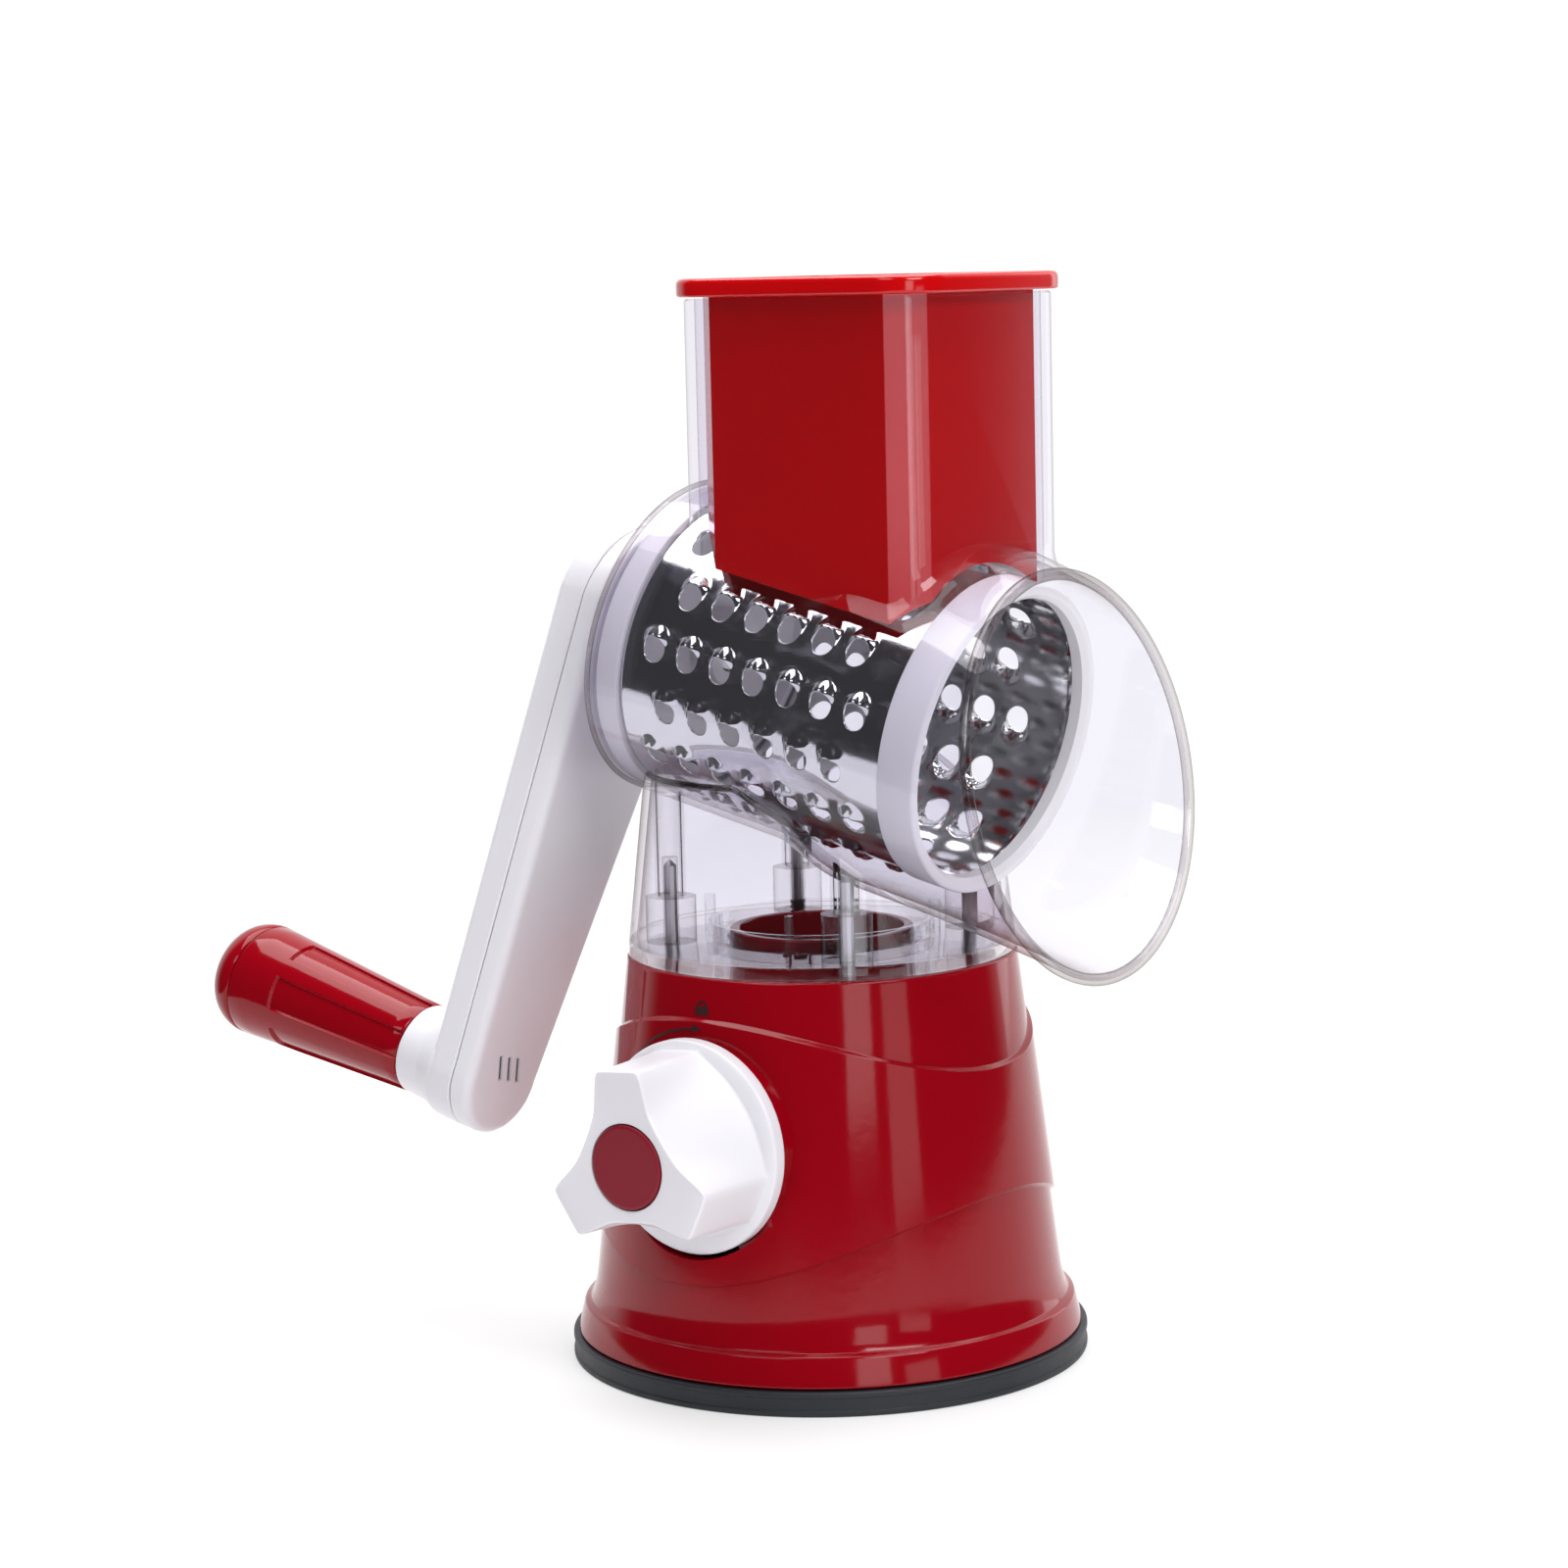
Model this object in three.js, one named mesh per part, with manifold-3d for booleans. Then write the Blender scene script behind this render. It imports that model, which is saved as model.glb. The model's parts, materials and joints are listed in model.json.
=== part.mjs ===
// Rotary drum grater on a suction base. Millimetres, +Z up.
// Origin: on the base's vertical axis, at the table. +X: the way the outlet faces. -Y: the lock knob.
import * as THREE from 'three';
import { mergeVertices } from 'three/addons/utils/BufferGeometryUtils.js';
import Module from 'manifold-3d';

const wasm = await Module();
wasm.setup();

// ---------------------------------------------------------------- driving dimensions

const GAP = 0.3; // between neighbours that touch on the real object
const RUN = 0.4; // radial play of a turning or sliding piece

// Drum axis: passes over the base's axis at AXIS_Z and falls towards the outlet.
const AXIS_Z = 161.9;
const TILT = THREE.MathUtils.degToRad(13);

// Base
const PAD_R = 62;
const PAD_RIM_Z = 5.8;
const PAD_SKIN = 2.6;
const BASE_FOOT_R = 60.7;
const BASE_LEDGE_Z = 13.5;
const BASE_LEDGE_R = 58.7;
const BASE_LOW_R = 56.6;
const BASE_TOP_R = 46.5;
const BASE_TOP_Z = 97;
const BASE_WALL = 2.4;
const TOP_PLATE = 2.6;
const HUB_R = 22;
const HUB_Z = 102.5;

// Lock knob and suction lift
const KNOB_Z = 59;
const KNOB_SEAT_Y = -50.2;
const KNOB_R = 25;
const KNOB_FACE_Y = -77.2;
const CAP_R = 9.7;
const SHAFT_R = 5;
const SHAFT_SQUARE = 7;
const CAM_BASE = 7;
const LIFT = 4;
const CAM_HALF = 3.2;
const RIB_Y = [4.6, 7.2];
const STUD_R = 3;
const YOKE_HALF_X = 15.5;
const YOKE_WINDOW_X = 12;
const YOKE_WINDOW_LOW = 11.5;
const YOKE_BAR = 4;
const YOKE_HUB_Z = 36;

// Clear deck, and the conical skirt that joins the housing to it
const DECK_Z = [97.3, 100.3];
const SKIRT_R = 46.4;
const SKIRT_SLOPE = 0.118;
const SKIRT_WALL = 1.8;
const ROOF_Z = 141.3;
const ROOF_BEND_X = 5;
const ROOF_FALL = 0.56;
const POST_AT = 25.5;
const BOSS_TOP_Z = 111.2;
const SCREW_R = 1.6;

// Housing
const CHAMBER_R = 38.8;
const CHAMBER_WALL = 1.5;
const CHAMBER_REAR = -39.6;
const REAR_WALL = 1.9;
const FLARE_S = [6, 28, 40]; // starts, reaches FLARE_R, turns to the mouth
const FLARE_R = 43.4;
const MOUTH_X = 73.3;
const MOUTH_Z = 142.6;
const MOUTH_TILT = THREE.MathUtils.degToRad(9.5);
const MOUTH_R = 46.4;
const LIP_R = 1.4;

// Chute and pusher: rounded rectangles about a vertical axis at CHUTE_X
const CHUTE_X = 17.1;
const PUSHER_HALF = [31.2, 28.9];
const PUSHER_CORNER = 7;
const PUSHER_WALL = 2.2;
const PUSHER_SADDLE_R = 38.4;
const CHUTE_PLAY = 0.6;
const CHUTE_WALL = 2.4;
const CHUTE_TOP_Z = 251.4;
const FLANGE_HALF = [36, 33.7];
const FLANGE_CORNER = 12;
const FLANGE_Z = [251.8, 256];

// Drum, along its own axis (s) from the point over the base's axis
const BARREL_R = 35.5;
const BARREL_WALL = 0.7;
const BARREL_S = [-30.8, 44.2];
const RING_R = 36.7;
const RING_BORE = 33.1;
const RING_END = 54.6;
const CAP_REAR = -37.4;
const HOLE_ROWS = 16;
const HOLE_PITCH = 9.6;
const HOLE_R = 3.1;
const HEX_FLATS = 10;

// Crank, on the drum axis
const ARM_LENGTH = 118.5;
const ARM_ANGLE = THREE.MathUtils.degToRad(15.1);
const ARM_HUB_R = 22.5;
const ARM_END_R = 13.5;
const ARM_S = [-64.5, -56.4, -56.1, -50]; // outer face, joint of the halves, inner face
const ARM_WALL = 2;
const ARM_SCREWS = [38, 92];
const JOURNAL_R = 6;
const GRIP_S = [-76.4, -131];
const GRIP_R = [11.4, 14.6];
const GRIP_END = -141.5;
const PIN_R = 3;

// ---------------------------------------------------------------- helpers

// Closed solid from a three.js geometry: merged corners, no slivers, faces out.
function solid(geometry) {
  const bare = geometry.clone();
  bare.deleteAttribute('normal');
  bare.deleteAttribute('uv');
  const merged = mergeVertices(bare, 1e-4);
  const position = merged.attributes.position;
  const index = merged.index.array;
  const a = new THREE.Vector3();
  const b = new THREE.Vector3();
  const c = new THREE.Vector3();
  let triangles = [];
  let volume = 0;
  for (let i = 0; i < index.length; i += 3) {
    const [i0, i1, i2] = [index[i], index[i + 1], index[i + 2]];
    if (i0 === i1 || i1 === i2 || i0 === i2) continue;
    a.fromBufferAttribute(position, i0);
    b.fromBufferAttribute(position, i1);
    c.fromBufferAttribute(position, i2);
    volume += a.dot(b.cross(c));
    triangles.push(i0, i1, i2);
  }
  if (volume < 0) triangles = triangles.reverse();
  return new wasm.Manifold(new wasm.Mesh({
    numProp: 3,
    vertProperties: new Float32Array(position.array),
    triVerts: new Uint32Array(triangles),
  }));
}

function geometryOf(manifold) {
  const mesh = manifold.getMesh();
  const geometry = new THREE.BufferGeometry();
  geometry.setAttribute('position', new THREE.BufferAttribute(mesh.vertProperties, 3));
  geometry.setIndex(new THREE.BufferAttribute(mesh.triVerts, 1));
  geometry.computeVertexNormals();
  return geometry;
}

// Solid of revolution about Z: profile of [radius, z], closed on the axis or on itself.
function turned(profile, segments = 32) {
  const points = profile.map(([r, z]) => new THREE.Vector2(r, z));
  if (profile[0][0] > 0) points.push(points[0].clone());
  const geometry = new THREE.LatheGeometry(points, segments);
  return geometry.rotateX(Math.PI / 2);
}

// The same about X: profile of [radius, s].
function turnedX(profile, segments = 32) {
  return turned(profile, segments).rotateY(Math.PI / 2);
}

// The same about Y: profile of [radius, y].
function turnedY(profile, segments = 28) {
  return turned(profile.map(([r, y]) => [r, -y]), segments).rotateX(Math.PI / 2);
}

function rod(radius, z0, z1, segments = 16) {
  return turned([[0, z0], [radius, z0], [radius, z1], [0, z1]], segments);
}

function rodX(radius, s0, s1, segments = 16) {
  return rod(radius, s0, s1, segments).rotateY(Math.PI / 2);
}

function rodY(radius, y0, y1, segments = 16) {
  return rod(radius, -y1, -y0, segments).rotateX(Math.PI / 2);
}

function box(x0, x1, y0, y1, z0, z1) {
  const geometry = new THREE.BoxGeometry(x1 - x0, y1 - y0, z1 - z0);
  return geometry.translate((x0 + x1) / 2, (y0 + y1) / 2, (z0 + z1) / 2);
}

// Outline of [x, y] points, extruded along Z.
function prism(outline, z0, z1) {
  const shape = new THREE.Shape(outline.map(([x, y]) => new THREE.Vector2(x, y)));
  const geometry = new THREE.ExtrudeGeometry(shape, { depth: z1 - z0, bevelEnabled: false });
  return geometry.translate(0, 0, z0);
}

function arc(cx, cy, radius, from, to, steps) {
  const points = [];
  for (let i = 0; i <= steps; i += 1) {
    const angle = from + (to - from) * (i / steps);
    points.push([cx + radius * Math.cos(angle), cy + radius * Math.sin(angle)]);
  }
  return points;
}

function roundedRectangle([halfX, halfY], corner, grow = 0) {
  const x = halfX - corner;
  const y = halfY - corner;
  const r = corner + grow;
  const quarter = Math.PI / 2;
  return [
    ...arc(x, y, r, 0, quarter, 5),
    ...arc(-x, y, r, quarter, 2 * quarter, 5),
    ...arc(-x, -y, r, 2 * quarter, 3 * quarter, 5),
    ...arc(x, -y, r, 3 * quarter, 4 * quarter, 5),
  ];
}

function column(half, corner, grow, z0, z1) {
  return prism(roundedRectangle(half, corner, grow), z0, z1).translate(CHUTE_X, 0, 0);
}

const drumFrame = new THREE.Matrix4()
  .makeTranslation(0, 0, AXIS_Z)
  .multiply(new THREE.Matrix4().makeRotationY(TILT));

// From the drum's own axes into the part's.
function onDrumAxis(geometry) {
  return geometry.applyMatrix4(drumFrame);
}

function coloured(color, roughness, metalness = 0, opacity = 1) {
  return new THREE.MeshStandardMaterial({
    color, roughness, metalness, opacity, transparent: opacity < 1,
  });
}

function piece(name, shape, material) {
  const geometry = shape.isBufferGeometry ? geometryOf(solid(shape)) : geometryOf(shape);
  const mesh = new THREE.Mesh(geometry, material);
  mesh.name = name;
  return mesh;
}

function joined(...geometries) {
  return geometries.map(solid).reduce((whole, next) => whole.add(next));
}

function cut(body, ...geometries) {
  return geometries.map(solid).reduce((whole, next) => whole.subtract(next), body);
}

const RED = [0xb00510, 0.25];
const DEEP_RED = [0x8e0613, 0.28];
const WHITE = [0xf2f2f4, 0.35];
const CLEAR = [0xe9e7e6, 0.08, 0, 0.3];
const STEEL = [0xb9bbc0, 0.22, 1];
const ZINC = [0x9a9ca2, 0.4, 1];
const RUBBER = [0x14181f, 0.75];
const GREY = [0x5a5c60, 0.55];

// ---------------------------------------------------------------- base

const baseSlope = (BASE_LOW_R - BASE_TOP_R) / (BASE_TOP_Z - BASE_LEDGE_Z);
const retainerScrewAt = 50;
const corners = [[1, 1], [-1, 1], [-1, -1], [1, -1]];
const diagonal = Math.SQRT1_2;
const studHead = { r: 5.5, z: [3.2, 5.2] };
const padBoss = { r: 9, z: 9 };
const retainerZ = [PAD_RIM_Z + GAP, PAD_RIM_Z + GAP + 4.2];
const retainerR = 54.6;
const retainerSeat = retainerZ[0] + 2.6;
const retainerHat = { r: [38, 41], z: [14.5, 17.5], hub: 20 };

function suctionPad() {
  const neck = STUD_R + RUN;
  return turned([
    [0, 0],
    [PAD_R, 0],
    [PAD_R, PAD_RIM_Z - 0.8],
    [PAD_R - 0.8, PAD_RIM_Z],
    [46, PAD_RIM_Z],
    [44, PAD_SKIN],
    [padBoss.r, PAD_SKIN + 1],
    [padBoss.r, padBoss.z],
    [neck, padBoss.z],
    [neck, studHead.z[1] + GAP],
    [studHead.r + GAP, studHead.z[1] + GAP],
    [studHead.r + GAP, studHead.z[0] - GAP],
    [0, studHead.z[0] - GAP],
  ]);
}

function padRetainer() {
  const [low, high] = retainerZ;
  const [inner, outer] = retainerHat.r;
  const bore = STUD_R + RUN;
  let body = solid(turned([
    [bore, retainerHat.z[0]],
    [inner, retainerHat.z[0]],
    [inner, low],
    [retainerR, low],
    [retainerR, high],
    [outer, high],
    [outer, retainerHat.z[1]],
    [8, retainerHat.z[1]],
    [8, retainerHat.hub],
    [bore, retainerHat.hub],
  ]));
  for (const [sx, sy] of corners) {
    const at = retainerScrewAt * diagonal;
    body = cut(
      body,
      rod(SCREW_R + GAP, low - 1, high + 1, 10).translate(sx * at, sy * at, 0),
      rod(3.2 + GAP, low - 1, retainerSeat, 16).translate(sx * at, sy * at, 0),
    );
  }
  return body;
}

// Pan-head screw along +Z: the head's underside at zHead, the point at zTip.
function screw(zHead, zTip, headR = 3.2, shankR = SCREW_R) {
  return turned([
    [0, zHead - 2],
    [headR * 0.7, zHead - 2],
    [headR, zHead - 1.2],
    [headR, zHead],
    [shankR, zHead],
    [shankR, zTip - 1.5],
    [0, zTip],
  ], 10);
}

function baseShell() {
  const innerTop = BASE_TOP_Z - TOP_PLATE;
  const lowZ = PAD_RIM_Z + GAP;
  let body = solid(turned([
    [BASE_FOOT_R - 3.6, lowZ],
    [BASE_FOOT_R, lowZ],
    [BASE_LEDGE_R, BASE_LEDGE_Z],
    [BASE_LOW_R, BASE_LEDGE_Z],
    [BASE_TOP_R, BASE_TOP_Z],
    [HUB_R, BASE_TOP_Z],
    [HUB_R, HUB_Z],
    [HUB_R - 2.5, HUB_Z],
    [HUB_R - 2.5, innerTop],
    [BASE_TOP_R - BASE_WALL, innerTop],
    [BASE_LOW_R - BASE_WALL, BASE_LEDGE_Z],
  ]));
  // bearing ribs for the cam shaft, joined across the hub's opening
  const ribs = [-1, 1].map((side) => {
    const [y0, y1] = RIB_Y.map((y) => y * side).sort((a, b) => a - b);
    return box(-14, 14, y0, y1, KNOB_Z - 9, innerTop + 1);
  });
  const cover = rod(HUB_R - 1, innerTop, innerTop + 1.6, 32);
  // flat-faced boss behind the knob, standing off the sloping wall and hollow from inside
  const boss = rodY(KNOB_R - 1, KNOB_SEAT_Y, KNOB_SEAT_Y + 7.6, 32).translate(0, 0, KNOB_Z);
  const bossHollow = rodY(KNOB_R - 4, KNOB_SEAT_Y + 3.2, KNOB_SEAT_Y + 12, 32).translate(0, 0, KNOB_Z);
  body = body.add(solid(boss)).subtract(solid(bossHollow)).add(joined(...ribs, cover));
  for (const [sx, sy] of corners) {
    const at = retainerScrewAt * diagonal;
    body = body.add(solid(rod(4.4, retainerZ[1] + GAP, 28, 12).translate(sx * at, sy * at, 0)));
    body = cut(
      body,
      rod(SCREW_R + GAP, 0, 24, 10).translate(sx * at, sy * at, 0),
      rod(SCREW_R + GAP, 80, 100, 10).translate(sx * POST_AT, sy * POST_AT, 0),
    );
  }
  return cut(
    body,
    rodY(KNOB_R + 1, KNOB_SEAT_Y - 15, KNOB_SEAT_Y, 32).translate(0, 0, KNOB_Z),
    rodY(SHAFT_R + RUN, KNOB_SEAT_Y - 5, 0, 24).translate(0, 0, KNOB_Z),
    rodY(3.4 + RUN, 0, 12, 24).translate(0, 0, KNOB_Z),
  );
}

// ---------------------------------------------------------------- suction lock

const camRise = LIFT / (Math.PI / 2);

// Reach of the cam in a direction, measured from straight up towards -X, for a knob at rest.
function camReach(angle) {
  const quarter = Math.PI / 2;
  if (angle <= quarter) return CAM_BASE + camRise * angle;
  if (angle <= 2 * quarter) return CAM_BASE + camRise * (2 * quarter - angle) + 0.6;
  return CAM_BASE;
}

// What is left of a polygon on the near side of a line at `reach` along `normal`.
function clipped(polygon, normal, reach) {
  const kept = [];
  polygon.forEach((p, i) => {
    const q = polygon[(i + 1) % polygon.length];
    const dp = p[0] * normal[0] + p[1] * normal[1] - reach;
    const dq = q[0] * normal[0] + q[1] * normal[1] - reach;
    if (dp <= 0) kept.push(p);
    if (dp * dq < 0) {
      const t = dp / (dp - dq);
      kept.push([p[0] + (q[0] - p[0]) * t, p[1] + (q[1] - p[1]) * t]);
    }
  });
  return kept;
}

function liftCam() {
  let outline = [[-20, -20], [20, -20], [20, 20], [-20, 20]];
  const steps = 36;
  for (let i = 0; i < steps; i += 1) {
    const angle = (i / steps) * 2 * Math.PI;
    outline = clipped(outline, [-Math.sin(angle), Math.cos(angle)], camReach(angle));
  }
  const blank = prism(outline, -CAM_HALF, CAM_HALF).rotateX(Math.PI / 2);
  const half = SHAFT_SQUARE / 2 + 0.15;
  return cut(solid(blank), box(-half, half, -9, 9, -half, half));
}

function camShaft() {
  const half = SHAFT_SQUARE / 2;
  const front = KNOB_SEAT_Y - 15.5;
  const body = joined(
    box(-half, half, front, KNOB_SEAT_Y + 2, -half, half),
    rodY(SHAFT_R, KNOB_SEAT_Y + 1, -8),
    box(-half, half, -8.5, 4.3, -half, half),
    rodY(3.4, 4, 8.5),
  );
  return cut(body, rodY(SCREW_R + 0.5, front - 1, front + 9, 12));
}

// Three broad lobes with flat tips and hollow flanks.
function knobOutline(scale) {
  const lobes = [98, 218, 338];
  const halfLobe = [[24, 17.7], [17, 21.6], [12, 22.9], [4, 23.2]];
  const points = [];
  for (const lobe of lobes) {
    const polar = [[-60, 13.3], [-42, 14.4], [-30, 16.2], ...halfLobe.map(([a, r]) => [-a, r])];
    const mirrored = [...polar].reverse().map(([a, r]) => [-a, r]).slice(0, -1);
    for (const [degrees, radius] of [...polar, ...mirrored]) {
      const angle = THREE.MathUtils.degToRad(lobe + degrees);
      points.push([radius * scale * Math.cos(angle), radius * scale * Math.sin(angle)]);
    }
  }
  return points;
}

function lockKnob() {
  const back = KNOB_SEAT_Y - 0.4;
  const flange = turnedY([
    [0, back],
    [KNOB_R, back],
    [KNOB_R, back - 3],
    [KNOB_R - 1.6, back - 4.6],
    [19, back - 7],
    [0, back - 7],
  ]);
  const depth = back - 5 - KNOB_FACE_Y;
  const grip = prism(knobOutline(1), 0, depth).rotateX(Math.PI / 2).translate(0, back - 5, 0);
  const half = SHAFT_SQUARE / 2 + 0.15;
  const socketEnd = KNOB_SEAT_Y - 15.8;
  return cut(
    joined(flange, grip),
    box(-half, half, socketEnd, back + 1, -half, half),
    rodY(SCREW_R + 0.5, KNOB_FACE_Y - 1, 0, 12),
    rodY(CAP_R + GAP, KNOB_FACE_Y - 1, KNOB_FACE_Y + 5, 32),
  );
}

function knobCap() {
  const inner = KNOB_FACE_Y + 1.6;
  return turnedY([
    [0, inner],
    [CAP_R, inner],
    [CAP_R, KNOB_FACE_Y - 0.4],
    [CAP_R - 0.8, KNOB_FACE_Y - 1],
    [0, KNOB_FACE_Y - 1.2],
  ], 32);
}

function knobScrew() {
  const seat = KNOB_FACE_Y + 5 - GAP;
  return turnedY([
    [0, seat - 2.4],
    [4, seat - 2.4],
    [4, seat],
    [SCREW_R, seat],
    [SCREW_R, seat + 14],
    [0, seat + 15],
  ], 16);
}

function liftYoke() {
  const low = KNOB_Z - YOKE_WINDOW_LOW;
  const high = KNOB_Z + CAM_BASE + 0.35;
  const thick = RIB_Y[0] - 0.6;
  const body = joined(
    box(-YOKE_HALF_X, YOKE_HALF_X, -thick, thick, low - YOKE_BAR, high + YOKE_BAR),
    rod(6.5, YOKE_HUB_Z, low - YOKE_BAR + 1),
  );
  return cut(
    body,
    box(-YOKE_WINDOW_X, YOKE_WINDOW_X, -9, 9, low, high),
    rod(STUD_R + GAP, YOKE_HUB_Z - 1, YOKE_HUB_Z + 8, 16),
  );
}

function pullStud() {
  return turned([
    [0, studHead.z[0]],
    [studHead.r, studHead.z[0]],
    [studHead.r, studHead.z[1]],
    [STUD_R, studHead.z[1]],
    [STUD_R, YOKE_HUB_Z + 7],
    [0, YOKE_HUB_Z + 7.5],
  ], 16);
}

function lockNut() {
  const top = YOKE_HUB_Z - GAP;
  const blank = rod(5.8, top - 3, top, 6);
  return cut(solid(blank), rod(STUD_R + 0.15, top - 5, top + 1, 16));
}

// ---------------------------------------------------------------- clear deck and housing

const skirtRadius = (z) => SKIRT_R - SKIRT_SLOPE * (z - BASE_TOP_Z);

function atCorners(make) {
  return corners.map(([sx, sy]) => make().translate(sx * POST_AT, sy * POST_AT, 0));
}

function clearDeck() {
  const [low, high] = DECK_Z;
  const body = solid(turned([
    [HUB_R + 0.6, low],
    [skirtRadius(low), low],
    [skirtRadius(high), high],
    [27, high],
    [27, high + 4.2],
    [25.4, high + 4.2],
    [25.4, high],
    [HUB_R + 0.6, high],
  ]));
  const ribs = [20, 110, 200, 290].map((degrees) => (
    box(27, 29, -0.8, 0.8, high - 1, high + 9).rotateZ(THREE.MathUtils.degToRad(degrees))
  ));
  return cut(
    body.add(joined(...atCorners(() => rod(6, high - 1, BOSS_TOP_Z, 16)), ...ribs)),
    ...atCorners(() => rod(SCREW_R + GAP, 90, 120, 10)),
  );
}

// Radius of the chamber's outside along its axis.
function chamberRadius(s) {
  return CHAMBER_R + (FLARE_R - CHAMBER_R) * THREE.MathUtils.smoothstep(s, FLARE_S[0], FLARE_S[1]);
}

// Chamber and outlet as one body about the drum axis, each radius grown by `grow`,
// and the mouth carried on by `past`. In the part's own axes.
function chamberBody(grow, rear, past = 0) {
  const segments = 32;
  const flareRings = 3;
  const mouthRings = 4;
  const toDrum = drumFrame.clone().invert();
  const up = new THREE.Vector3(-Math.sin(MOUTH_TILT), 0, Math.cos(MOUTH_TILT));
  const out = new THREE.Vector3(Math.cos(MOUTH_TILT), 0, Math.sin(MOUTH_TILT));
  const onAxis = (s, angle) => {
    const r = chamberRadius(s) + grow;
    return new THREE.Vector3(s, r * Math.cos(angle), r * Math.sin(angle));
  };
  const onMouth = (angle, extra) => new THREE.Vector3(MOUTH_X, 0, MOUTH_Z)
    .add(new THREE.Vector3(0, (MOUTH_R + grow) * Math.cos(angle), 0))
    .addScaledVector(up, (MOUTH_R + grow) * Math.sin(angle))
    .addScaledVector(out, extra)
    .applyMatrix4(toDrum);
  const towardsMouth = (t) => (angle) => {
    const start = onAxis(FLARE_S[2], angle);
    const end = onMouth(angle, 0);
    const bend = start.clone();
    bend.x = THREE.MathUtils.lerp(start.x, end.x, 0.5);
    return new THREE.QuadraticBezierCurve3(start, bend, end).getPoint(t);
  };
  const places = [(angle) => onAxis(rear, angle)];
  for (let i = 0; i <= flareRings; i += 1) {
    const s = THREE.MathUtils.lerp(FLARE_S[0], FLARE_S[1], i / flareRings);
    places.push((angle) => onAxis(s, angle));
  }
  for (let i = 0; i <= mouthRings; i += 1) places.push(towardsMouth(i / mouthRings));
  if (past > 0) places.push((angle) => onMouth(angle, past));
  return onDrumAxis(skin(places.map((place) => (
    Array.from({ length: segments }, (_, i) => place((i / segments) * 2 * Math.PI))
  ))));
}

// Closed surface through rings of equal count, with a flat fan at each end.
function skin(rings) {
  const count = rings[0].length;
  const last = rings.length - 1;
  const positions = rings.flat().flatMap((p) => [p.x, p.y, p.z]);
  const index = [];
  for (let r = 0; r < last; r += 1) {
    for (let i = 0; i < count; i += 1) {
      const j = (i + 1) % count;
      const [a, b] = [r * count + i, r * count + j];
      index.push(a, a + count, b, b, a + count, b + count);
    }
  }
  for (let i = 1; i + 1 < count; i += 1) {
    index.push(0, i, i + 1);
    index.push(last * count, last * count + i + 1, last * count + i);
  }
  const geometry = new THREE.BufferGeometry();
  geometry.setAttribute('position', new THREE.BufferAttribute(new Float32Array(positions), 3));
  geometry.setIndex(index);
  return geometry;
}

// Cone under the chamber: level roof at the back, falling towards the outlet.
function skirtBody(inset, low, roof) {
  const cone = turned([
    [0, low],
    [skirtRadius(low) - inset, low],
    [skirtRadius(roof) - inset, roof],
    [0, roof],
  ]);
  const lowest = roof - ROOF_FALL * (60 - ROOF_BEND_X);
  const outline = [[ROOF_BEND_X, roof + 1], [ROOF_BEND_X, roof], [60, lowest], [60, roof + 1]];
  const falling = prism(outline, -60, 60).rotateX(Math.PI / 2);
  return cut(solid(cone), falling);
}

function clearHousing() {
  const chuteGrow = CHUTE_PLAY + CHUTE_WALL;
  const lipCircle = arc(MOUTH_R - 0.2, 0, LIP_R, 0, 2 * Math.PI, 6).slice(0, -1);
  const lip = turned(lipCircle, 32).rotateY(Math.PI / 2 - MOUTH_TILT).translate(MOUTH_X, 0, MOUTH_Z);
  const chamber = solid(chamberBody(0, CHAMBER_REAR));
  const chute = solid(column(PUSHER_HALF, PUSHER_CORNER, chuteGrow, AXIS_Z + 6, CHUTE_TOP_Z));
  const skirt = skirtBody(0, DECK_Z[1] + GAP, ROOF_Z)
    .subtract(skirtBody(SKIRT_WALL, DECK_Z[1] - 1, ROOF_Z - SKIRT_WALL));
  const posts = joined(...atCorners(() => rod(4.2, BOSS_TOP_Z + GAP, AXIS_Z - 15, 16)));
  return cut(
    chamber.add(chute).add(solid(lip)).add(skirt).add(posts),
    chamberBody(-CHAMBER_WALL, CHAMBER_REAR + REAR_WALL, 6),
    column(PUSHER_HALF, PUSHER_CORNER, CHUTE_PLAY, AXIS_Z + 7, CHUTE_TOP_Z + 5),
    onDrumAxis(rodX(9, CHAMBER_REAR - 5, CHAMBER_REAR + 5)),
    ...atCorners(() => rod(SCREW_R + GAP, 100, 120.5, 10)),
  );
}

// ---------------------------------------------------------------- pieces on the drum axis

function rearBush() {
  return turnedX([
    [JOURNAL_R + RUN, CHAMBER_REAR - 2.3],
    [13, CHAMBER_REAR - 2.3],
    [13, CHAMBER_REAR - GAP],
    [8.7, CHAMBER_REAR - GAP],
    [8.7, CHAMBER_REAR + REAR_WALL + 0.6],
    [JOURNAL_R + RUN, CHAMBER_REAR + REAR_WALL + 0.6],
  ], 24);
}

function drumBarrel() {
  const [s0, s1] = BARREL_S;
  const tube = turnedX([
    [BARREL_R - BARREL_WALL, s0],
    [BARREL_R, s0],
    [BARREL_R, s1],
    [BARREL_R - BARREL_WALL, s1],
  ]);
  const middle = (s0 + s1) / 2;
  const punches = [];
  for (let row = 0; row < HOLE_ROWS; row += 1) {
    const count = row % 2 === 0 ? 7 : 6;
    const angle = ((row + 0.44) / HOLE_ROWS) * 2 * Math.PI;
    for (let i = 0; i < count; i += 1) {
      const s = middle + (i - (count - 1) / 2) * HOLE_PITCH;
      punches.push(rod(HOLE_R, BARREL_R - 4, BARREL_R + 4, 4).translate(s, 0, 0).rotateX(angle));
    }
  }
  return punches.map(solid).reduce((whole, next) => whole.subtract(next), solid(tube));
}

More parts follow.
